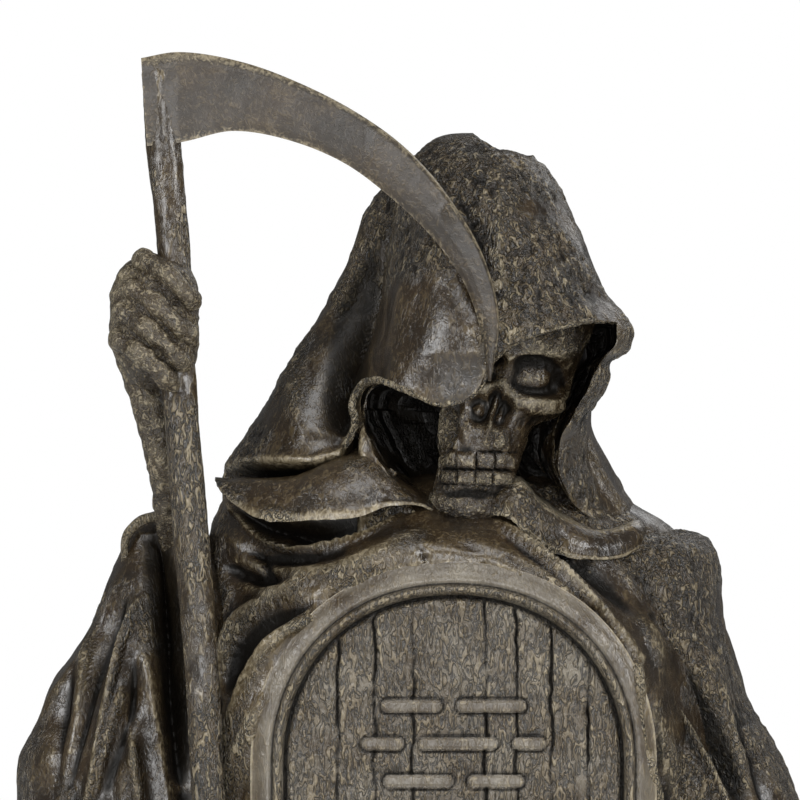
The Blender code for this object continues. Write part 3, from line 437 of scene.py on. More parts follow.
def read_rows(rows, run, at):
    """The rows' curve at the distances at. Each column is a cubic whose slope is level where it turns."""
    step = np.diff(run)[:, None]
    rise = np.diff(rows, axis=0) / step
    inner = np.where(rise[1:] * rise[:-1] > 0, (rise[1:] + rise[:-1]) / 2, 0)
    slope = np.vstack([rise[:1], inner, rise[-1:]])
    i = np.clip(np.searchsorted(run, at, side="right") - 1, 0, len(step) - 1)
    t = ((at - run[i]) / step[i, 0])[:, None]
    start, end, pull = rows[i], rows[i + 1], step[i]
    return (
        start * (1 + 2 * t) * (1 - t) ** 2
        + end * t * t * (3 - 2 * t)
        + pull * (slope[i] * t * (1 - t) ** 2 - slope[i + 1] * t * t * (1 - t))
    )


def through(rows, count, crowd=1.0):
    """The rows' own curve at count places along it, crowded towards its far end when crowd is above 1."""
    rows = np.asarray(rows, float)
    run = run_along(rows)
    share = 1 - (1 - np.linspace(0, 1, count)) ** crowd
    return read_rows(rows, run, run[-1] * share)


def closed_curve(points, count):
    """A smooth closed line through the points."""
    points = np.asarray(points, float)
    wrapped = np.vstack([points[-2:], points, points[:3]])
    run = run_along(wrapped)
    return read_rows(wrapped, run, np.linspace(run[2], run[2 + len(points)], count, endpoint=False))


def crest_distance(x, z, fold):
    """Distance to a fold's crest, a parabola through its three points, and the share along the crest."""
    start, middle, end = (np.array(p, float) for p in fold[:3])
    control = 2 * middle - (start + end) / 2
    t = np.linspace(0, 1, 17)[:, None]
    line = start * (1 - t) ** 2 + 2 * control * t * (1 - t) + end * t * t
    nearest = np.full(x.shape, 1e9)
    along = np.zeros(x.shape)
    for k in range(len(line) - 1):
        side = line[k + 1] - line[k]
        s = np.clip(((x - line[k, 0]) * side[0] + (z - line[k, 1]) * side[1]) / (side @ side), 0, 1)
        away = np.hypot(x - line[k, 0] - s * side[0], z - line[k, 1] - s * side[1])
        closer = away < nearest
        nearest = np.where(closer, away, nearest)
        along = np.where(closer, (k + s) / (len(line) - 1), along)
    return nearest, along


def fold_relief(x, z, folds):
    """Height of all the folds: a bell across each crest, and the root of a half sine along it."""
    height = np.zeros(x.shape)
    for fold in folds:
        away, along = crest_distance(x, z, fold)
        fade = np.sqrt(np.clip(np.sin(np.pi * np.clip(along, 0.02, 0.98)), 0, 1))
        height += fold[4] * fade * np.exp(-((away / fold[3]) ** 1.5))
    return height


# Surfaces


def grid_normals(points):
    """Unit normals of a tube of rings: the step round the ring crossed with the step upwards."""
    turn = np.roll(points, -1, axis=1) - np.roll(points, 1, axis=1)
    climb = np.gradient(points, axis=0)
    normal = np.cross(turn, climb)
    return normal / np.maximum(np.linalg.norm(normal, axis=2, keepdims=True), 1e-9)


def superellipse(angle, power):
    """Across and deep, -1 to 1, at an angle: its cosine and sine raised to 2 / power, signs kept."""
    across, deep = np.cos(angle), np.sin(angle)
    return np.sign(across) * np.abs(across) ** (2 / power), np.sign(deep) * np.abs(deep) ** (2 / power)


def loft(rows, levels, around, power, relief=None, reshape=None, crowd=1.5, front_share=0.45):
    """A closed form from its rows: superellipses between left, right, front and back at each level.

    The rings' points crowd towards the front, where the angle's step is 1 - front_share of the mean.
    """
    row = through(rows, levels, crowd)
    z, left, right, front, back = (row[:, k : k + 1] for k in range(5))
    turn = np.linspace(0, 2 * np.pi, around, endpoint=False)[None]
    angle = turn - front_share * np.cos(turn)
    across, deep = superellipse(angle, power)
    x = (left + right) / 2 + across * (right - left) / 2
    y = (front + back) / 2 + deep * (back - front) / 2
    points = np.stack([x, y, np.broadcast_to(z, x.shape)], -1)
    if reshape is not None:
        points = reshape(points)
    if relief is None:
        return points
    normals = grid_normals(points)
    return points + normals * relief(points, normals, angle)[..., None]


def front_of(rows, x, z, power):
    """The y of a form's front face at (x, z), or of its last forward part where it turns to the side."""
    rows = np.asarray(rows, float)
    left, right, front, back = (np.interp(z, rows[:, 0], rows[:, k]) for k in range(1, 5))
    share = np.clip(np.abs(x - (left + right) / 2) / ((right - left) / 2), 0, 0.94)
    return (front + back) / 2 - (back - front) / 2 * (1 - share**power) ** (1 / power)


def sweep(path, levels, around):
    """A round tube along rows of x, y, z, radius. Near each end the radius falls as a circle's does."""
    row = through(path, levels)
    centre, radius = row[:, :3], row[:, 3:]
    run = np.gradient(centre, axis=0)
    run /= np.linalg.norm(run, axis=1, keepdims=True)
    along = run_along(centre)[:, None]
    ends = np.minimum(along, along[-1] - along) / radius
    radius = radius * np.sqrt(np.clip(1 - (1 - np.clip(ends, 0.02, 1)) ** 2, 0, 1))
    deep = np.array([0.0, 1.0, 0.0]) - run * run[:, 1:2]
    deep /= np.linalg.norm(deep, axis=1, keepdims=True)
    side = np.cross(deep, run)
    angle = np.linspace(0, 2 * np.pi, around, endpoint=False)
    ring = np.cos(angle)[None, :, None] * side[:, None] + np.sin(angle)[None, :, None] * deep[:, None]
    return centre[:, None] + ring * radius[:, None]


def band(rows, levels, around):
    """A closed strip of cloth: its outer face bellies out by a parabola, its lower edge is rolled."""
    row = through(rows, levels)
    top, foot, belly, thick = row[:, None, :3], row[:, None, 3:6], row[:, None, 6:7], row[:, None, 7:8]
    run = np.gradient(row[:, :3] + row[:, 3:6], axis=0)[:, None]
    out = np.cross(run, foot - top)
    out /= np.linalg.norm(out, axis=2, keepdims=True)
    out *= np.where(out[..., 1:2] > 0, -1, 1)
    t = np.linspace(0, 1, around * 2 // 3)[None, :, None]
    roll = 0.06 * thick * np.exp(-(((t - 0.95) / 0.05) ** 2))
    face = top * (1 - t) + foot * t + out * (belly * 4 * t * (1 - t) + roll)
    s = np.linspace(1, 0, around // 3)[None, :, None]
    back = top * (1 - s) + foot * s + thick * np.array([0, 1, 0.25])
    return np.concatenate([face, back], axis=1)


def undo_perspective(points):
    """Draws in what stands nearer than the middle plane, since it looked larger in the drawing.

    A point moves towards the drawing's middle by its nearness as a share of the drawing distance.
    """
    x, y, z = axes(points)
    nearer = y * U / DRAWING_DISTANCE * smooth(0, 420, z)
    return np.stack([x + (x - DRAWING_MIDDLE[0]) * nearer, y, z + (z - DRAWING_MIDDLE[1]) * nearer], -1)


def grain(points, amount, size=8, seed=0.0):
    """The tooled grain of the casting: lumps a few units across, drawn out along the fall of the cloth."""
    return amount * rough(points, size, 3, (1, 1, 1.7), seed)


def roughness_zone(points, bias, seed=0.0):
    """Where the surface is left rough (1) and where it is smoothed (0): large soft patches."""
    return smooth(-0.25, 0.35, noise(points, 70, seed=seed) + 0.5 * noise(points, 26, seed=seed + 3) + bias)


# Meshes


def relax(values, ends, degree):
    """The mean of each vertex's neighbours, summed over the mesh's edges."""
    count = len(values)
    moved = np.empty_like(values)
    for k in range(values.shape[1]):
        column = values[:, k]
        moved[:, k] = np.bincount(ends[:, 0], column[ends[:, 1]], count)
        moved[:, k] += np.bincount(ends[:, 1], column[ends[:, 0]], count)
    return moved / degree[:, None]


def read_items(items, key, width, kind=float):
    """One row of numbers for each vertex or edge."""
    flat = np.empty(len(items) * width, kind)
    items.foreach_get(key, flat)
    return flat.reshape(-1, width)


def mark_wear_and_shade(mesh):
    """Stores how far each vertex stands above the surface round it: "proud" close by, "crest" further out.

    That surface is the mesh with each vertex moved to the mean of its neighbours, over and over. The height
    is taken as a share of the reach, and its tanh is stored, which stays between -1 and 1.
    """
    # These heights place the brush, the rubbed edges with their painted highlight, and painted shade in
    # hollows.
    co = read_items(mesh.vertices, "co", 3)
    normal = read_items(mesh.vertices, "normal", 3)
    ends = read_items(mesh.edges, "vertices", 2, int)
    degree = np.maximum(np.bincount(ends.ravel(), minlength=len(co)), 1).astype(float)
    edge = np.linalg.norm(co[ends[:, 0]] - co[ends[:, 1]], axis=1).mean()
    eased = co
    for name, width, reach in (("proud", 0.0030, 0.0008), ("crest", 0.0110, 0.0050)):
        for _ in range(int(np.clip((width / edge) ** 2, 2, 90))):
            eased = relax(eased, ends, degree)
        height = np.einsum("ij,ij->i", co - eased, normal) / reach
        set_layer(mesh, name, np.tanh(height))


def set_layer(mesh, name, values):
    """Stores one number for each vertex."""
    layer = mesh.attributes.new(name, "FLOAT", "POINT")
    layer.data.foreach_set("value", np.asarray(values, np.float32).ravel())


def tube_mesh(name, points, rough_zone, pooled_wash_and_shade=0.0, drawn=True):
    """A closed mesh from a tube of rings: quads between rings and a flat face on each end.

    Points that are drawn are in the figure's units, and the others in metres above the plinth.
    """
    levels, around = points.shape[:2]
    if drawn:
        points = undo_perspective(points) * U
    placed = points.reshape(-1, 3) + np.array([0, 0, PLINTH_HEIGHT])
    ring = np.arange(around)
    following = np.roll(ring, -1)
    below = np.arange(levels - 1)[:, None] * around
    above = below + around
    quads = np.stack([below + ring, below + following, above + following, above + ring], -1).reshape(-1, 4)
    mesh = bpy.data.meshes.new(name)
    faces = quads.tolist() + [ring[::-1].tolist(), (ring + (levels - 1) * around).tolist()]
    mesh.from_pydata(placed.tolist(), [], faces)
    if signed_volume(placed, quads) < 0:
        mesh.flip_normals()
    set_layer(mesh, "rough", np.broadcast_to(rough_zone, (levels, around)))
    # The second layer is painted shade: near black under the hood's hem, behind the cowl, inside the hood and
    # in fold valleys, where it also stands for the wash.
    set_layer(mesh, "pooled_wash_and_shade", np.broadcast_to(pooled_wash_and_shade, (levels, around)))
    return mesh


def signed_volume(placed, quads):
    """Six times the volume inside the quads: above zero when they face outwards."""
    a, b, c, d = (placed[quads[:, k]] for k in range(4))
    return float(np.einsum("ij,ij->", a, np.cross(b, c)) + np.einsum("ij,ij->", a, np.cross(c, d)))


def in_scene(name, data):
    """A new object in the scene for a mesh, a lamp or a camera, at the origin."""
    thing = bpy.data.objects.new(name, data)
    bpy.context.scene.collection.objects.link(thing)
    return thing


def show(mesh, material, keep_sharp=math.radians(60)):
    """Puts a finished mesh in the scene as a piece that rides on the root body and stands for the casting."""
    mesh.materials.append(material)
    mesh.shade_smooth()
    mesh.set_sharp_from_angle(angle=keep_sharp)
    mark_wear_and_shade(mesh)
    piece = in_scene(mesh.name, mesh)
    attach(piece, "root")
    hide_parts(NODE)


def join_meshes(name, meshes):
    """One mesh from several, with their vertex layers kept."""
    parts = [in_scene(mesh.name, mesh) for mesh in meshes]
    first = parts[0]
    with bpy.context.temp_override(active_object=first, object=first, selected_editable_objects=parts):
        bpy.ops.object.join()
    mesh = first.data
    mesh.name = name
    bpy.data.objects.remove(first)
    return mesh


# Paint


def node(tree, kind, inputs=(), output=0, **settings):
    """Adds a node, sets its properties, fills its sockets with values or links, and gives one output."""
    made = tree.nodes.new(kind)
    for key, value in settings.items():
        setattr(made, key, value)
    for socket, value in dict(inputs).items():
        if isinstance(value, bpy.types.NodeSocket):
            tree.links.new(value, made.inputs[socket])
        else:
            made.inputs[socket].default_value = value
    return made.outputs[output] if len(made.outputs) else None


def per_metre(millimetres):
    """A texture scale whose pattern repeats about every so many millimetres."""
    return 1000 / millimetres


def painted_resin(finished):
    """Cast polyester resin, sprayed dark, given black-brown in its hollows, dry-brushed with tan and
    lacquered.

    What the eye gets: a dark brown that shines in small broken glints from every lump, smooth places with a
    soft grey sheen, and a duller tan where a brush would reach. Its hollows, creases and undersides are
    painted near black, partly as the real black-brown paint and partly as painted shade, and its sharpest
    ridges are painted pale, partly as rubbed wear and partly as painted highlight. Each row of FINISHES makes
    one material, which the pieces that have that finish share.
    """
    name = "painted_resin_" + finished
    made = bpy.data.materials.get(name)
    if made:
        return made
    paint = finish()
    coat, stretch, lumps_mm, brush, gloss, depth = FINISHES[finished]
    made = bpy.data.materials.new(name)
    made.use_nodes = True
    tree = made.node_tree
    tree.nodes.clear()
    place = node(tree, "ShaderNodeTexCoord", output="Object")
    drawn_out = node(tree, "ShaderNodeVectorMath", {0: place, 1: stretch}, operation="MULTIPLY")
    # The last layer is painted shade from the pieces: near black under the hem, behind the cowl, in the face
    # hollow and the fold valleys.
    proud, crest, zone, pooled_wash_and_shade = (
        node(tree, "ShaderNodeAttribute", output="Fac", attribute_name=layer)
        for layer in ("proud", "crest", "rough", "pooled_wash_and_shade")
    )
    waves = {"Vector": drawn_out, "Scale": per_metre(lumps_mm), "Detail": 2.5, "Distortion": 1.3}
    lumps = node(tree, "ShaderNodeTexNoise", waves)
    fine = {"Vector": drawn_out, "Scale": per_metre(lumps_mm / 2.4), "Detail": 2.0, "Distortion": 0.6}
    grit = node(tree, "ShaderNodeTexNoise", fine)
    clouds = node(tree, "ShaderNodeTexNoise", {"Vector": place, "Scale": per_metre(16), "Detail": 3.0})
    tooled = node(tree, "ShaderNodeMapRange", {"Value": zone, "To Min": 0.10, "To Max": 1.0})
    # Fine creases wind between the lumps, along the line where the noise is at its middle value.
    crease = node(tree, "ShaderNodeMath", {0: lumps, 1: 0.5}, operation="SUBTRACT")
    crease = node(tree, "ShaderNodeMath", {0: crease}, operation="ABSOLUTE")
    crease = {"Value": crease, "From Min": 0.08, "From Max": 0.01}
    crease = node(tree, "ShaderNodeMapRange", crease, interpolation_type="SMOOTHSTEP")
    crease = node(tree, "ShaderNodeMath", {0: crease, 1: tooled}, operation="MULTIPLY")
    # The brush catches what stands higher, and more of it on rough and raised ground.
    height = lumps
    catches = ((grit, 0.4), (zone, 0.22), (proud, 0.30 * brush), (crest, 0.26 * brush), (clouds, 0.5))
    for value, share in catches:
        height = node(tree, "ShaderNodeMath", {0: value, 1: share, 2: height}, operation="MULTIPLY_ADD")
    brushed = {"Value": height, "From Min": 0.85, "From Max": 1.65, "To Max": 0.75}
    brushed = node(tree, "ShaderNodeMapRange", brushed, interpolation_type="SMOOTHSTEP")
    # The sharpest edges and highest lumps are painted paler still: partly rubbed wear, partly painted
    # highlight where the ridges catch the light.
    edge = lumps
    for value, share in ((proud, 0.45), (zone, 0.16), (grit, 0.3)):
        edge = node(tree, "ShaderNodeMath", {0: value, 1: share, 2: edge}, operation="MULTIPLY_ADD")
    worn_and_highlit = {"Value": edge, "From Min": 0.86, "From Max": 1.26, "To Max": 0.7}
    worn_and_highlit = node(tree, "ShaderNodeMapRange", worn_and_highlit, interpolation_type="SMOOTHSTEP")
    # The near-black paint goes where the surface lies lower than what is round it: partly the wash
    # that stays in the hollows, partly painted shade for their shadow; each piece's painted shade adds to it.
    sunk = node(tree, "ShaderNodeMath", {0: proud, 1: 0.7, 2: crest}, operation="MULTIPLY_ADD")
    washed_and_shaded = {"Value": sunk, "From Min": 0.05, "From Max": -0.6, "To Max": 0.92}
    washed_and_shaded = node(tree, "ShaderNodeMapRange", washed_and_shaded, interpolation_type="SMOOTHSTEP")
    washed_and_shaded = node(tree, "ShaderNodeMath", {0: washed_and_shaded, 1: pooled_wash_and_shade}, operation="MAXIMUM")
    # The creases take the same near-black paint: partly the wash in them, partly painted shade for their
    # shadow.
    creased_and_shaded = node(tree, "ShaderNodeMath", {0: crease, 1: 0.93}, operation="MULTIPLY")
    browner = node(tree, "ShaderNodeMapRange", {"Value": clouds, "From Min": 0.3, "From Max": 0.7})
    tone = getattr(paint, coat)
    coats = ((browner, paint.warm), (brushed, paint.brushed), (worn_and_highlit, paint.worn_and_highlit))
    for share, over in coats + ((creased_and_shaded, paint.wash_and_shade), (washed_and_shaded, paint.wash_and_shade)):
        tone = node(tree, "ShaderNodeMix", {0: share, 6: tone, 7: over}, 2, data_type="RGBA")
    relief = node(tree, "ShaderNodeMath", {0: grit, 1: 0.3, 2: lumps}, operation="MULTIPLY_ADD")
    relief = node(tree, "ShaderNodeMath", {0: relief, 1: tooled}, operation="MULTIPLY")
    relief = node(tree, "ShaderNodeMath", {0: crease, 1: -0.12, 2: relief}, operation="MULTIPLY_ADD")
    normal = node(tree, "ShaderNodeBump", {"Height": relief, "Distance": depth * lumps_mm / 1000})
    # In the same hollows the lacquer is dulled and its shine cut, so they lose their reflections: more
    # painted shade.
    dull = node(tree, "ShaderNodeMath", {0: washed_and_shaded, 1: 0.2, 2: gloss}, operation="MULTIPLY_ADD")
    shine = node(tree, "ShaderNodeMapRange", {"Value": washed_and_shaded, "To Min": 0.5, "To Max": 0.12})
    shader = {"Base Color": tone, "Roughness": dull, "Normal": normal, "Specular IOR Level": shine}
    lacquered = node(tree, "ShaderNodeBsdfPrincipled", {"IOR": LACQUER_IOR, **shader})
    node(tree, "ShaderNodeOutputMaterial", {"Surface": lacquered})
    return made


# Pieces


def drape(points, angle, deepest=BACK_FOLD_DEPTH):
    """Hanging folds that go round a form as cosines of the angle, deeper towards the ground."""
    z = points[..., 2]
    grow = 0.25 + 0.75 * smooth(650, 60, z)
    swing = angle + 0.12 * np.sin(z / 130)
    wave = np.cos(BACK_FOLDS * swing) + 0.45 * np.cos(7 * swing + 1.3)
    return deepest * grow * wave / 1.45


def cloth_relief(folds, bias, seed):
    """Drawn folds in front, hanging folds behind and below, hand-tooled unevenness and grain over all."""

    def relief(points, normals, angle):
        x, z = points[..., 0], points[..., 2]
        front = smooth(-0.05, 0.45, -normals[..., 1])
        behind = smooth(0.10, -0.35, -normals[..., 1])
        low = 0.55 * smooth(330, 120, z)
        zone = roughness_zone(points, bias, seed)
        tooled = 2.2 * rough(points, 38, 2, (1, 1, 1.6), seed + 5)
        hanging = np.maximum(behind, front * low) * drape(points, angle)
        height = front * fold_relief(x, z, folds) + hanging
        return height + (tooled + grain(points, 0.3 + 1.2 * zone, 8, seed))

    return relief


def cloth_layers(points, folds, bias, seed):
    """Roughness of the cloth, most along its crests, and painted shade with dark paint in its valleys."""
    x, y, z = axes(points)
    fold = fold_relief(x, z, folds) * smooth(10, -30, y)
    zone = roughness_zone(points, bias, seed) + 0.8 * smooth(2, 8, fold)
    return np.clip(zone, 0, 1), 0.85 * smooth(-5, -22, fold)


def under_hem(x, z):
    """Where the hood's left drape ends (1 below its hem) and how near a point is to the hem's roll."""
    hem_line = np.interp(x, (-206, -187, -116, -90, -80), (746, 752, 752, 762, 790))
    left = smooth(-70, -84, x)
    return smooth(hem_line + 1, hem_line - 4, z) * left, np.exp(-(((z - hem_line - 5) / 4) ** 2)) * left


def hood_relief(points, normals, angle):
    """The hood's folds, and the hem of its left drape, below which the cloth steps back."""
    x, z = points[..., 0], points[..., 2]
    front = smooth(-0.05, 0.45, -normals[..., 1])
    below, rolled = under_hem(x, z)
    behind = smooth(0.10, -0.35, -normals[..., 1])
    zone = roughness_zone(points, hood_bias(x, z), 1.0)
    tooled = 1.8 * rough(points, 40, 2, (1, 1, 1.6), 2.0) + grain(points, 0.35 + 1.6 * zone, 8, 1.0)
    drawn = fold_relief(x, z, HOOD_FOLDS) - 42 * below + 2.5 * rolled
    crown = smooth(1084, 1066, z)
    return crown * (front * drawn + behind * drape(points, angle, 5) + tooled)


def hood_bias(x, z):
    """The hood is rough over the head, to the right and along its left edge, and smooth on its left."""
    drape_edge = np.interp(z, (750, 865, 969, 1050), (-190, -116, -66, -30))
    right = 0.9 * smooth(20, 80, x) * smooth(780, 830, z)
    flap = 0.45 * smooth(-75, -55, x) * smooth(40, 0, x)
    return -0.5 + right + flap + 0.6 * smooth(1000, 1050, z) + 0.7 * smooth(22, 8, x - drape_edge)


def hood_layers(points):
    """The hood's roughness and painted shade, which also lies under the hem of the left drape."""
    x, z = points[..., 0], points[..., 2]
    zone, pooled_wash_and_shade = cloth_layers(points, HOOD_FOLDS, hood_bias(x, z), 1.0)
    # Under the left drape's hem the cloth is painted near black: a painted shadow of the hem.
    return zone, np.maximum(pooled_wash_and_shade, 0.96 * under_hem(x, z)[0] * smooth(10, -30, points[..., 1]))


def marker_inset(x, height):
    """How far a point of the marker's plane is inside the arched outline, in metres; below zero outside.

    It is half the width less the point's superellipse distance from the middle line or the arch's centre.
    """
    half = sizes().marker_width / 2
    up = np.clip(height - (sizes().marker_height - half), 0, None)
    return half - (np.abs(x) ** ARCH_POWER + up**ARCH_POWER) ** (1 / ARCH_POWER)


def drawn_up_to_marker(points):
    """The robe comes forward to the marker all round it, by a bell of the distance from its outline."""
    size = sizes()
    x, y, z = axes(points)
    outside = -marker_inset((x - MARKER_AXIS) * U, z * U) / U
    behind = np.clip(y + (size.marker_front - size.edge_round) / U, 0, None) * (y < 0)
    near = np.exp(-((np.clip(outside, 0, None) / SWELL_REACH) ** 2)) * smooth(-24, -10, outside)
    return np.stack([x, y - behind * near * smooth(230, 450, z), z], -1)


def brim_tucked(points):
    """The brim stands out over the face only: further back, by an S, the hood's side lies in its drape."""
    x, y, z = axes(points)
    rows = np.array(HOOD_DRAPE, float)
    limit = np.interp(z, rows[:, 0], rows[:, 2]) - BRIM_TUCK
    share = smooth(-140, 0, y) * (x > limit)
    return np.stack([x + (limit - x) * share, y, z], -1)


def opened(mesh, larger):
    """The hood's mesh with the hollow round the face cut out of it: the outline drawn in by stages."""
    name = mesh.name
    outline = closed_curve(FACE_OPENING, 260)[::-1]
    centre = np.array(OPENING_CENTRE, float)
    stages = through(OPENING_STAGES, 60)
    share = stages[:, 1][:, None, None] * larger
    flat = centre + (outline - centre)[None] * share
    y = np.broadcast_to(stages[:, :1], flat.shape[:2])
    points = np.stack([flat[..., 0], y, flat[..., 1]], -1)
    inward = np.concatenate([flat - centre, np.zeros_like(y)[..., None]], -1)
    inward /= np.maximum(np.linalg.norm(inward, axis=2, keepdims=True), 1e-9)
    uneven = 3.0 * rough(points, 26, 3, seed=4.0) * smooth(-180, -110, y)
    points = points + np.stack([inward[..., 0], inward[..., 2], inward[..., 1]], -1) * uneven[..., None]
    # The hollow's walls, left in the hood by the cut, carry 0.7 painted shade: the dark inside of the hood.
    hollow = in_scene("face_hollow", tube_mesh("face_hollow", points, 0.4, 0.7))
    cloth = in_scene(name, mesh)
    cut = cloth.modifiers.new("face", "BOOLEAN")
    cut.operation = "DIFFERENCE"
    cut.object = hollow
    graph = bpy.context.evaluated_depsgraph_get()
    done = bpy.data.meshes.new_from_object(cloth.evaluated_get(graph))
    for part in (hollow, cloth):
        bpy.data.objects.remove(part)
    bpy.data.meshes.remove(mesh)
    done.name = name
    return done


class STATUE_OT_robe(bpy.types.Operator):
    """The robe and its two sleeves"""

    bl_idname = "statue.robe"
    bl_label = "Robe"

    def execute(self, context):
        forms = (
            ("robe", ROBE, 250, 260, ROBE_FOLDS, drawn_up_to_marker, -0.2, 11.0),
            ("left_sleeve", LEFT_SLEEVE, 225, 190, LEFT_SLEEVE_FOLDS, None, -0.4, 21.0),
            ("right_sleeve", RIGHT_SLEEVE, 225, 190, RIGHT_SLEEVE_FOLDS, None, 0.5, 31.0),
        )
        for name, rows, levels, around, folds, reshape, bias, seed in forms:
            points = loft(rows, levels, around, CLOTH_POWER, cloth_relief(folds, bias, seed), reshape)
            show(tube_mesh(name, points, *cloth_layers(points, folds, bias, seed)), painted_resin("cloth"))
        return {"FINISHED"}


class STATUE_OT_hood(bpy.types.Operator):
    """The hood over the head, its drape to the shoulders, and its rolled hem"""

    bl_idname = "statue.hood"
    bl_label = "Hood"

    def execute(self, context):
        shape = {"relief": hood_relief, "crowd": 1.0, "front_share": 0.3}
        head = brim_tucked(loft(HOOD_HEAD, levels=200, around=220, power=HEAD_POWER, **shape))
        fall = loft(HOOD_DRAPE, levels=190, around=210, power=DRAPE_POWER, **shape)
        for name, points, larger in (("hood_head", head, 1.02), ("hood_drape", fall, 1.0)):
            show(opened(tube_mesh(name, points, *hood_layers(points)), larger), painted_resin("cloth"))
        x, z, radius = np.array(HEM, float).T
        y = front_of(HOOD_HEAD, x, z, HEAD_POWER) + 2
        points = sweep(np.stack([x, y, z, radius], -1), levels=260, around=20)
        points += grain(points, 1.6, 9, 6.0)[..., None] * np.array([0, -1, 0.6])
        show(tube_mesh("hood_hem", points, 1.0), painted_resin("cloth"))
        return {"FINISHED"}


class STATUE_OT_cowl(bpy.types.Operator):
    """The cowl across the chest and the rim of the left sleeve"""

    bl_idname = "statue.cowl"
    bl_label = "Cowl"

    def execute(self, context):
        around = 72
        # The back and underside of each strip are painted near black: painted shade behind the cowl.
        shade_underneath = 0.9 * (np.arange(around) > around * 2 // 3)
        for name, rows, seed in (("cowl_left", COWL_LEFT, 7.0), ("cowl_lip", LIP_RIGHT, 8.0)):
            points = band(rows, 200, around)
            normals = grid_normals(points)
            edge = np.interp(points[..., 0], [row[3] for row in rows], [row[5] for row in rows])
            zone = roughness_zone(points, -0.45 + 0.45 * smooth(20, 6, points[..., 2] - edge), seed)
            uneven = 1.6 * rough(points, 30, 2, seed=seed) + grain(points, 0.3 + 0.8 * zone, 8, seed)
            facing = np.where(normals[..., 1:2] > 0, -normals, normals)
            points = points + facing * uneven[..., None]
            show(tube_mesh(name, points, zone, shade_underneath), painted_resin("cloth"))
        points = sweep(SLEEVE_RIM, levels=120, around=24)
        points += grain(points, 1.0, 9, 9.0)[..., None] * np.array([0, -1, 0.4])
        show(tube_mesh("sleeve_rim", points, 0.8), painted_resin("cloth"))
        return {"FINISHED"}


def bump(x, z, centre, size, crisp=1.5):
    """1 at the centre of an oval, falling to 0 outside: exp(-r^(2 crisp)), steeper when crisp is higher."""
    return np.exp(-((((x - centre[0]) / size[0]) ** 2 + ((z - centre[1]) / size[1]) ** 2) ** crisp))


def tooth_row(x, z, top, width, height):
    """A row of teeth below top: rounded blocks with grooves between, level though the head leans."""
    level = z - TEETH_SLOPE * (x - JAW_MIDDLE)
    slant = x + TEETH_SLOPE * (z - BITE) - JAW_MIDDLE
    place = slant / width
    across = np.abs(place % 1 - 0.5) * 2
    down = (top - level) / height
    inside = smooth(2.3, 2.1, np.abs(place)) * smooth(-0.12, 0.02, down) * smooth(1.12, 0.98, down)
    block = 1 - np.maximum(across, np.abs(2 * down - 1)) ** 6
    sizes_differ = 1.2 * lattice(np.stack([np.floor(place), np.full_like(place, top), 0 * place], -1))
    return inside * (4.5 * np.clip(block, 0, 1) + 1.4 * sizes_differ - 1.5)


def skull_relief(points, normals, angle):
    """Almond sockets with a lidded ball in each, cheekbones, the heart of the nose, two rows of teeth."""
    x, z = points[..., 0], points[..., 2]
    side = np.abs(x)
    nose = x - JAW_MIDDLE
    front = smooth(0.0, 0.5, -normals[..., 1])
    height = -20 * bump(side, z - 0.12 * (side - 30), (31, 27), (35, 21), 3.2)
    height += 17 * bump(side, z - 0.12 * (side - 30), (31, 22), (30, 15), 1.1)
    height += 3 * np.exp(-((np.hypot((side - 31) / 37, (z - 27) / 22) - 1) / 0.10) ** 2)
    height += 3 * bump(side, z, (34, 60), (30, 16))
    height += 7 * bump(side, z - 0.10 * (side - 40), (44, 0), (26, 9), 1.6)
    height -= 26 * bump(side, z, (57, -50), (20, 38), 2.2)
    lobes = np.maximum(bump(nose, z, (-11, -19), (13, 15), 2.8), bump(nose, z, (11, -16), (12, 16), 2.8))
    lobes = np.maximum(lobes, bump(nose, z, (1, -6), (9, 13), 2.4))
    height -= 13 * lobes
    height += 9 * bump(nose, z + 0.3 * nose, (3, -20), (3.0, 18), 1.3)
    height += 9 * bump(nose, z, (-14, -20), (7.5, 11), 1.0)
    height += 6 * bump(nose, z, (13, -23), (5, 8), 1.0)
    height += 10 * bump(x, z, (-1, 26), (9, 22))
    roots = 1.6 * smooth(-34, -44, z) * smooth(-62, -50, z)
    height += roots * np.cos(2 * np.pi * (nose + 0.26 * (z - BITE)) / UPPER_TEETH[0] - np.pi)
    height += tooth_row(x, z, BITE + UPPER_TEETH[1], *UPPER_TEETH)
    height += tooth_row(x, z, BITE - 1, *LOWER_TEETH)
    height += 5 * bump(x, z, (11, -47), (5, 7), 2)
    height -= 3 * bump(nose, z - TEETH_SLOPE * nose, (0, -103), (30, 4))
    pitted = grain(points, 1.3, 7, 12.0) + 1.4 * rough(points, 18, 2, seed=13.0)
    return front * height + pitted


class STATUE_OT_skull(bpy.types.Operator):
    """The skull inside the hood, leaned to its side"""

    bl_idname = "statue.skull"
    bl_label = "Skull"

    def execute(self, context):
        shape = {"relief": skull_relief, "crowd": 1.0, "front_share": 0.6}
        points = loft(SKULL, levels=230, around=220, power=SKULL_POWER, **shape)
        zone = roughness_zone(points, 0.1, 12.0)
        cos, sin = math.cos(HEAD_LEAN), math.sin(HEAD_LEAN)
        x, y, z = axes(points)
        leaned = np.stack([x * cos + z * sin, y, z * cos - x * sin], -1) + np.array(SKULL_ORIGIN)
        show(tube_mesh("skull", leaned, zone), painted_resin("bone"))
        return {"FINISHED"}


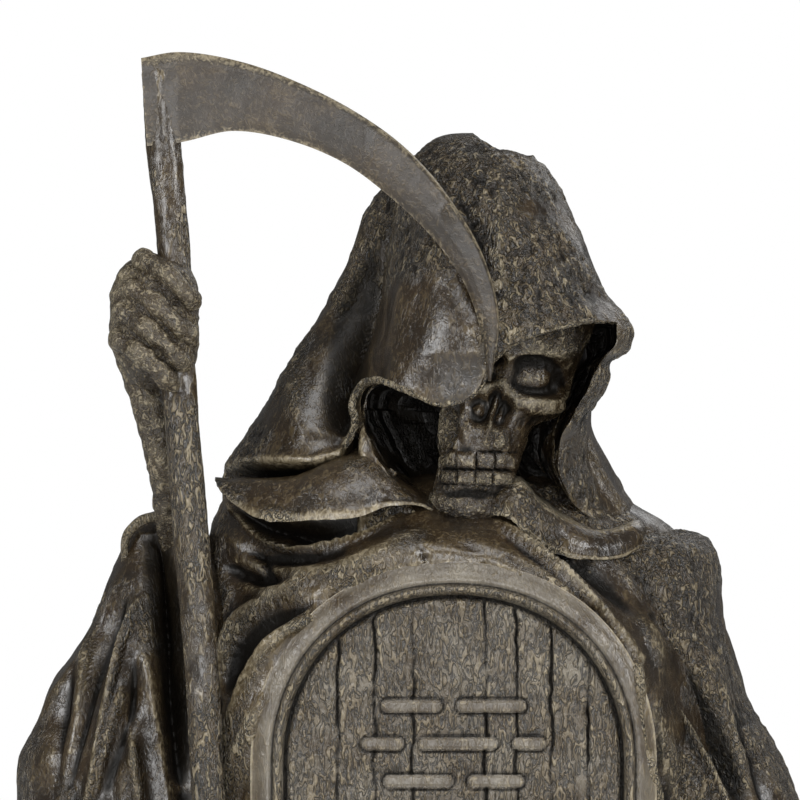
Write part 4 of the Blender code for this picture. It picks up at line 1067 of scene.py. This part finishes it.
class STATUE_OT_scythe(bpy.types.Operator):
    """The scythe's staff and blade"""

    bl_idname = "statue.scythe"
    bl_label = "Scythe"

    def execute(self, context):
        size = sizes()
        row = np.array(STAFF, float)
        row[:, 3] *= size.staff / 2 / U
        points = sweep(row, levels=420, around=40)
        normals = grid_normals(points)
        whittled = 1.0 * rough(points, 22, 2, (1, 1, 3.5), 14.0) + grain(points, 0.5, 6, 14.0)
        points = points + normals * whittled[..., None]
        show(tube_mesh("staff", points, roughness_zone(points, 0.1, 14.0)), painted_resin("staff"))
        # The blade is straight between its back and its cutting edge, and thins towards both.
        row = through(BLADE, 300)
        back, edge = row[:, :2], row[:, 2:]
        share = np.linspace(0, 1, 26)
        thick = np.interp(share, (0, 0.04, 0.10, 0.3, 0.6, 0.85, 1), (0.7, 1.2, 0.9, 1, 0.9, 0.6, 0.22))
        share = np.concatenate([share, share[::-1]])
        thick = np.concatenate([-thick, thick[::-1]]) * size.blade / 2 / U
        depth = np.array(BLADE_DEPTH, float)
        x = back[:, :1] * (1 - share) + edge[:, :1] * share
        z = back[:, 1:] * (1 - share) + edge[:, 1:] * share
        points = np.stack([x, np.interp(x, depth[:, 0], depth[:, 1]) + thick, z], -1)
        points[..., 1] += 0.6 * rough(points, 34, 3, seed=15.0)
        blade = tube_mesh("blade", points, roughness_zone(points, -0.35, 15.0))
        show(blade, painted_resin("blade"), math.radians(40))
        return {"FINISHED"}


class STATUE_OT_hand(bpy.types.Operator):
    """The bony hand round the staff, with its forearm"""

    bl_idname = "statue.hand"
    bl_label = "Hand"

    def execute(self, context):
        tubes = [
            sweep(FOREARM, levels=130, around=40),
            sweep(PALM, levels=70, around=44),
            loft(FIST, levels=80, around=80, power=CLOTH_POWER, crowd=1.0),
        ]
        # Each finger arches over the staff through its knuckle, its middle joint and its tip.
        for knuckle, joint, tip in FINGERS:
            path = (
                (knuckle[0] + 6, -124, knuckle[1] - 4, 9),
                (knuckle[0] + 2, -152, knuckle[1], 12),
                ((knuckle[0] + joint[0]) / 2, -168, (knuckle[1] + joint[1]) / 2, 8.5),
                (joint[0], -178, joint[1], 11),
                ((tip[0] + joint[0]) / 2, -179, (tip[1] + joint[1]) / 2, 9),
                (tip[0] - 3, -168, tip[1] + 2, 10.5),
                (tip[0] - 2, -150, tip[1] - 2, 7),
            )
            tubes.append(sweep(path, levels=110, around=30))
        meshes = []
        for k, points in enumerate(tubes):
            gnarled = 1.5 * rough(points, 11, 2, seed=20.0 + k) + grain(points, 0.5, 5, 20.0 + k)
            points = points + grid_normals(points) * gnarled[..., None]
            meshes.append(tube_mesh(f"bone_{k}", points, 0.6))
        show(join_meshes("hand", meshes), painted_resin("hand"))
        return {"FINISHED"}


def marker_face(x, height):
    """How far the marker's face stands back: border, bead, groove, and planks with their wear in the field.

    The border falls as a parabola to the outline, the bead is a half sine, the groove and the cracks are
    bells of the distance from their lines, and the planks' wear is noise drawn out along the grain.
    """
    size = sizes()
    height = np.broadcast_to(height, x.shape)
    inset = marker_inset(x, height)
    bead_end = size.band + size.bead
    field = smooth(bead_end + size.groove * 0.6, bead_end + size.groove * 1.3, inset)
    edge = size.edge_round * (1 - smooth(0, 1, inset / size.band)) ** 2
    bead = np.sin(np.pi * np.clip((inset - size.band) / size.bead, 0, 1)) * 0.0016
    back = smooth(bead_end, bead_end + size.groove * 0.4, inset) * size.recess
    into_groove = (inset - bead_end) / size.groove
    trench = np.exp(-((2 * into_groove - 1) ** 2)) * size.recess * 0.5
    here = np.stack([x / U, np.zeros_like(x), height / U], -1)
    wander = 2.2 * noise(here * np.array([0.3, 1, 1]), 26, seed=40.0)
    cracks = np.zeros(x.shape)
    for k, joint in enumerate(PLANK_JOINTS):
        open_here = 0.35 + 0.65 * smooth(-0.5, 0.4, noise(here + k * 91.0, 46, seed=41.0))
        away = np.abs(x / U - joint - wander - 1.5 * noise(here, 9, seed=42.0 + k))
        cracks = np.maximum(cracks, open_here * np.exp(-((away / 1.9) ** 2)))
    lines = noise(here, 5.5, (1, 1, 16), 43.0) + 0.6 * noise(here, 2.9, (1, 1, 14), 44.0)
    beaten = 0.00034 * rough(here, 15, 3, (1.5, 1, 0.75), 45.0)
    wood = cracks * 0.0021 + 0.00022 * smooth(0.35, 0.9, lines) + beaten
    channel = np.exp(-(((inset - size.band) / (size.groove * 0.3)) ** 2)) * size.recess * 0.3
    raised, outlined = marker_strokes(x, height)
    wood = wood * (1 - raised) + outlined * size.stroke_rise * 0.45 - raised * size.stroke_rise
    return edge + back + trench + channel - bead + field * wood + (1 - field) * 0.4 * beaten


def marker_strokes(x, height):
    """Rows of plain raised strokes (1 on a stroke), and the sunk line round each.

    A stroke is all that is nearer to a short level line than half the stroke's height.
    """
    size = sizes()
    radius = size.stroke_height / 2
    raised, outlined = np.zeros(x.shape), np.zeros(x.shape)
    for row, strokes in enumerate(STROKES):
        start = -(sum(strokes) + size.stroke_gap * (len(strokes) - 1)) / 2
        for long in strokes:
            beside = np.clip(np.abs(x - start - long / 2) - long / 2 + radius, 0, None)
            away = np.hypot(beside, height - size.first_row + size.row_pitch * row) - radius
            raised = np.maximum(raised, smooth(0.0005, -0.0005, away))
            outlined = np.maximum(outlined, np.exp(-(((away - 0.0010) / 0.0006) ** 2)))
            start += long + size.stroke_gap
    return raised, outlined


class STATUE_OT_marker(bpy.types.Operator):
    """The arched grave marker with its planked field and rows of strokes"""

    bl_idname = "statue.marker"
    bl_label = "Grave marker"

    def execute(self, context):
        size = sizes()
        # Each ring runs across the arch's chord at its height, and back behind it with fewer points.
        levels, across, across_rear = 310, 226, 24
        foot = -0.004  # it stands a little way into the earth
        rise = np.linspace(0, 1, levels)
        height = (foot + (size.marker_height - foot) * (1 - (1 - rise) ** 1.35) * 0.9998)[:, None]
        half = size.marker_width / 2
        up = np.clip((height - (size.marker_height - half)) / half, 0, 1)
        chord = half * (1 - up**ARCH_POWER) ** (1 / ARCH_POWER)
        spread = np.linspace(-1, 1, across)
        crowded = np.pi / 2 * 0.75
        x = chord * np.sin(spread * crowded)[None] / math.sin(crowded)
        front = -size.marker_front + marker_face(x, height)
        level = np.broadcast_to(height, x.shape)
        face = np.stack([x, front, level], -1)
        keep = np.linspace(0, across - 1, across_rear).astype(int)
        rear = np.stack([x, np.full(x.shape, size.marker_thickness - size.marker_front), level], -1)
        points = np.concatenate([face, rear[:, keep][:, ::-1]], axis=1)
        inset = marker_inset(points[..., 0], points[..., 2])
        raised = marker_strokes(points[..., 0], points[..., 2])[0] * (points[..., 1] < 0)
        zone = 0.15 + 0.75 * smooth(size.band - 0.001, size.band + 0.001, inset) * (1 - raised)
        points[..., 0] += MARKER_AXIS * U
        show(tube_mesh("marker", points, zone, drawn=False), painted_resin("marker"))
        return {"FINISHED"}


class STATUE_OT_plinth(bpy.types.Operator):
    """The low mound of trodden earth that the statue stands on"""

    bl_idname = "statue.plinth"
    bl_label = "Plinth"

    def execute(self, context):
        # Superellipses as wide as the profile says, with noise for the clods on top and the worn side.
        across, deep = superellipse(np.linspace(0, 2 * np.pi, 300, endpoint=False)[None], PLINTH_POWER)
        half = (HIGH[:2] - LOW[:2]) / 2
        middle = (HIGH[:2] + LOW[:2]) / 2
        row = through(np.array(PLINTH_PROFILE) * (1, PLINTH_HEIGHT / half[0]), 70)
        share, height = row[:, :1], row[:, 1:] * half[0]
        x, y = middle[0] + half[0] * share * across, middle[1] + half[1] * share * deep
        points = np.stack([x, y, np.broadcast_to(height, x.shape)], -1)
        on_top = smooth(0.5, 0.95, height / PLINTH_HEIGHT)
        clods = (1.6 * rough(points / U, 30, 3, seed=50.0) + 0.8 * noise(points / U, 9, seed=51.0)) * U
        points[..., 2] += np.where(height > 0.001, clods * on_top, 0)
        side = smooth(0.0, 0.3, height / PLINTH_HEIGHT) * (1 - on_top)
        inward = 1 - side * 0.006 * (1 + rough(points / U, 24, 3, seed=52.0))
        points[..., :2] = middle + (points[..., :2] - middle) * inward[..., None]
        points[..., 2] -= PLINTH_HEIGHT
        show(tube_mesh("plinth", points, 0.9, drawn=False), painted_resin("earth"))
        return {"FINISHED"}


class STATUE_OT_stage(bpy.types.Operator):
    """A pale floor, soft lights and the camera"""

    bl_idname = "statue.stage"
    bl_label = "Stage"

    def execute(self, context):
        scene = context.scene
        floor = bpy.data.meshes.new("floor")
        corners = [(x * FLOOR_REACH, y * FLOOR_REACH, 0) for x, y in ((-1, -1), (1, -1), (1, 1), (-1, 1))]
        floor.from_pydata(corners, [], [(0, 1, 2, 3)])
        pale = bpy.data.materials.new("studio_floor")
        pale.use_nodes = True
        shader = pale.node_tree.nodes["Principled BSDF"]
        shader.inputs["Base Color"].default_value = finish().floor
        shader.inputs["Roughness"].default_value = 0.9
        floor.materials.append(pale)
        in_scene("floor", floor)
        world = bpy.data.worlds.new("studio")
        world.use_nodes = True
        tree = world.node_tree
        tree.nodes.clear()
        seen = node(tree, "ShaderNodeLightPath", output="Is Camera Ray")
        strength = node(tree, "ShaderNodeMapRange", {"Value": seen, "To Min": 0.12, "To Max": 1.0})
        light = node(tree, "ShaderNodeBackground", {"Color": (1, 1, 1, 1), "Strength": strength})
        node(tree, "ShaderNodeOutputWorld", {"Surface": light})
        scene.world = world
        aim = np.array([DRAWING_MIDDLE[0] * U, 0, DRAWING_MIDDLE[1] * U + PLINTH_HEIGHT])
        for name, place, width, power in LAMPS:
            lamp = bpy.data.lights.new(name, "AREA")
            lamp.shape = "SQUARE"
            lamp.size = width
            lamp.energy = power
            face_towards(in_scene(name, lamp), np.array(place), aim)
        lens = bpy.data.cameras.new("camera")
        lens.sensor_width = SENSOR
        lens.lens = SENSOR * DRAWING_DISTANCE / PICTURE_SPAN
        eye = in_scene("camera", lens)
        face_towards(eye, aim + np.array([0, -DRAWING_DISTANCE, 0]), aim)
        scene.camera = eye
        scene.view_settings.view_transform = "Standard"
        return {"FINISHED"}


def face_towards(thing, place, target):
    """Puts a camera or a light at a place and turns its -Z towards the target, with its top up."""
    away = (place - target) / np.linalg.norm(place - target)
    tilt = math.acos(away[2])
    thing.location = place
    thing.rotation_euler = (tilt, 0, math.atan2(away[0], -away[1]))


PIECES = (
    STATUE_OT_plinth,
    STATUE_OT_robe,
    STATUE_OT_marker,
    STATUE_OT_hood,
    STATUE_OT_cowl,
    STATUE_OT_skull,
    STATUE_OT_scythe,
    STATUE_OT_hand,
    STATUE_OT_stage,
)


class STATUE_PT_panel(bpy.types.Panel):
    """Lists the statue's pieces, sizes and colours"""

    bl_idname = "STATUE_PT_panel"
    bl_label = "Reaper Statue"
    bl_space_type = "VIEW_3D"
    bl_region_type = "UI"
    bl_category = "Reaper"

    def draw(self, context):
        for piece in PIECES:
            self.layout.operator(piece.bl_idname)
        for group in (context.scene.statue_sizes, context.scene.statue_finish):
            box = self.layout.box()
            for key in group.__annotations__:
                box.prop(group, key)


CLASSES = (StatueSizes, StatueFinish) + PIECES + (STATUE_PT_panel,)


def register():
    for made in CLASSES:
        bpy.utils.register_class(made)
    bpy.types.Scene.statue_sizes = bpy.props.PointerProperty(type=StatueSizes)
    bpy.types.Scene.statue_finish = bpy.props.PointerProperty(type=StatueFinish)


def unregister():
    del bpy.types.Scene.statue_sizes
    del bpy.types.Scene.statue_finish
    for made in reversed(CLASSES):
        bpy.utils.unregister_class(made)


def main():
    register()
    for piece in PIECES:
        area, verb = piece.bl_idname.split(".")
        getattr(getattr(bpy.ops, area), verb)()


if __name__ == "__main__":
    main()
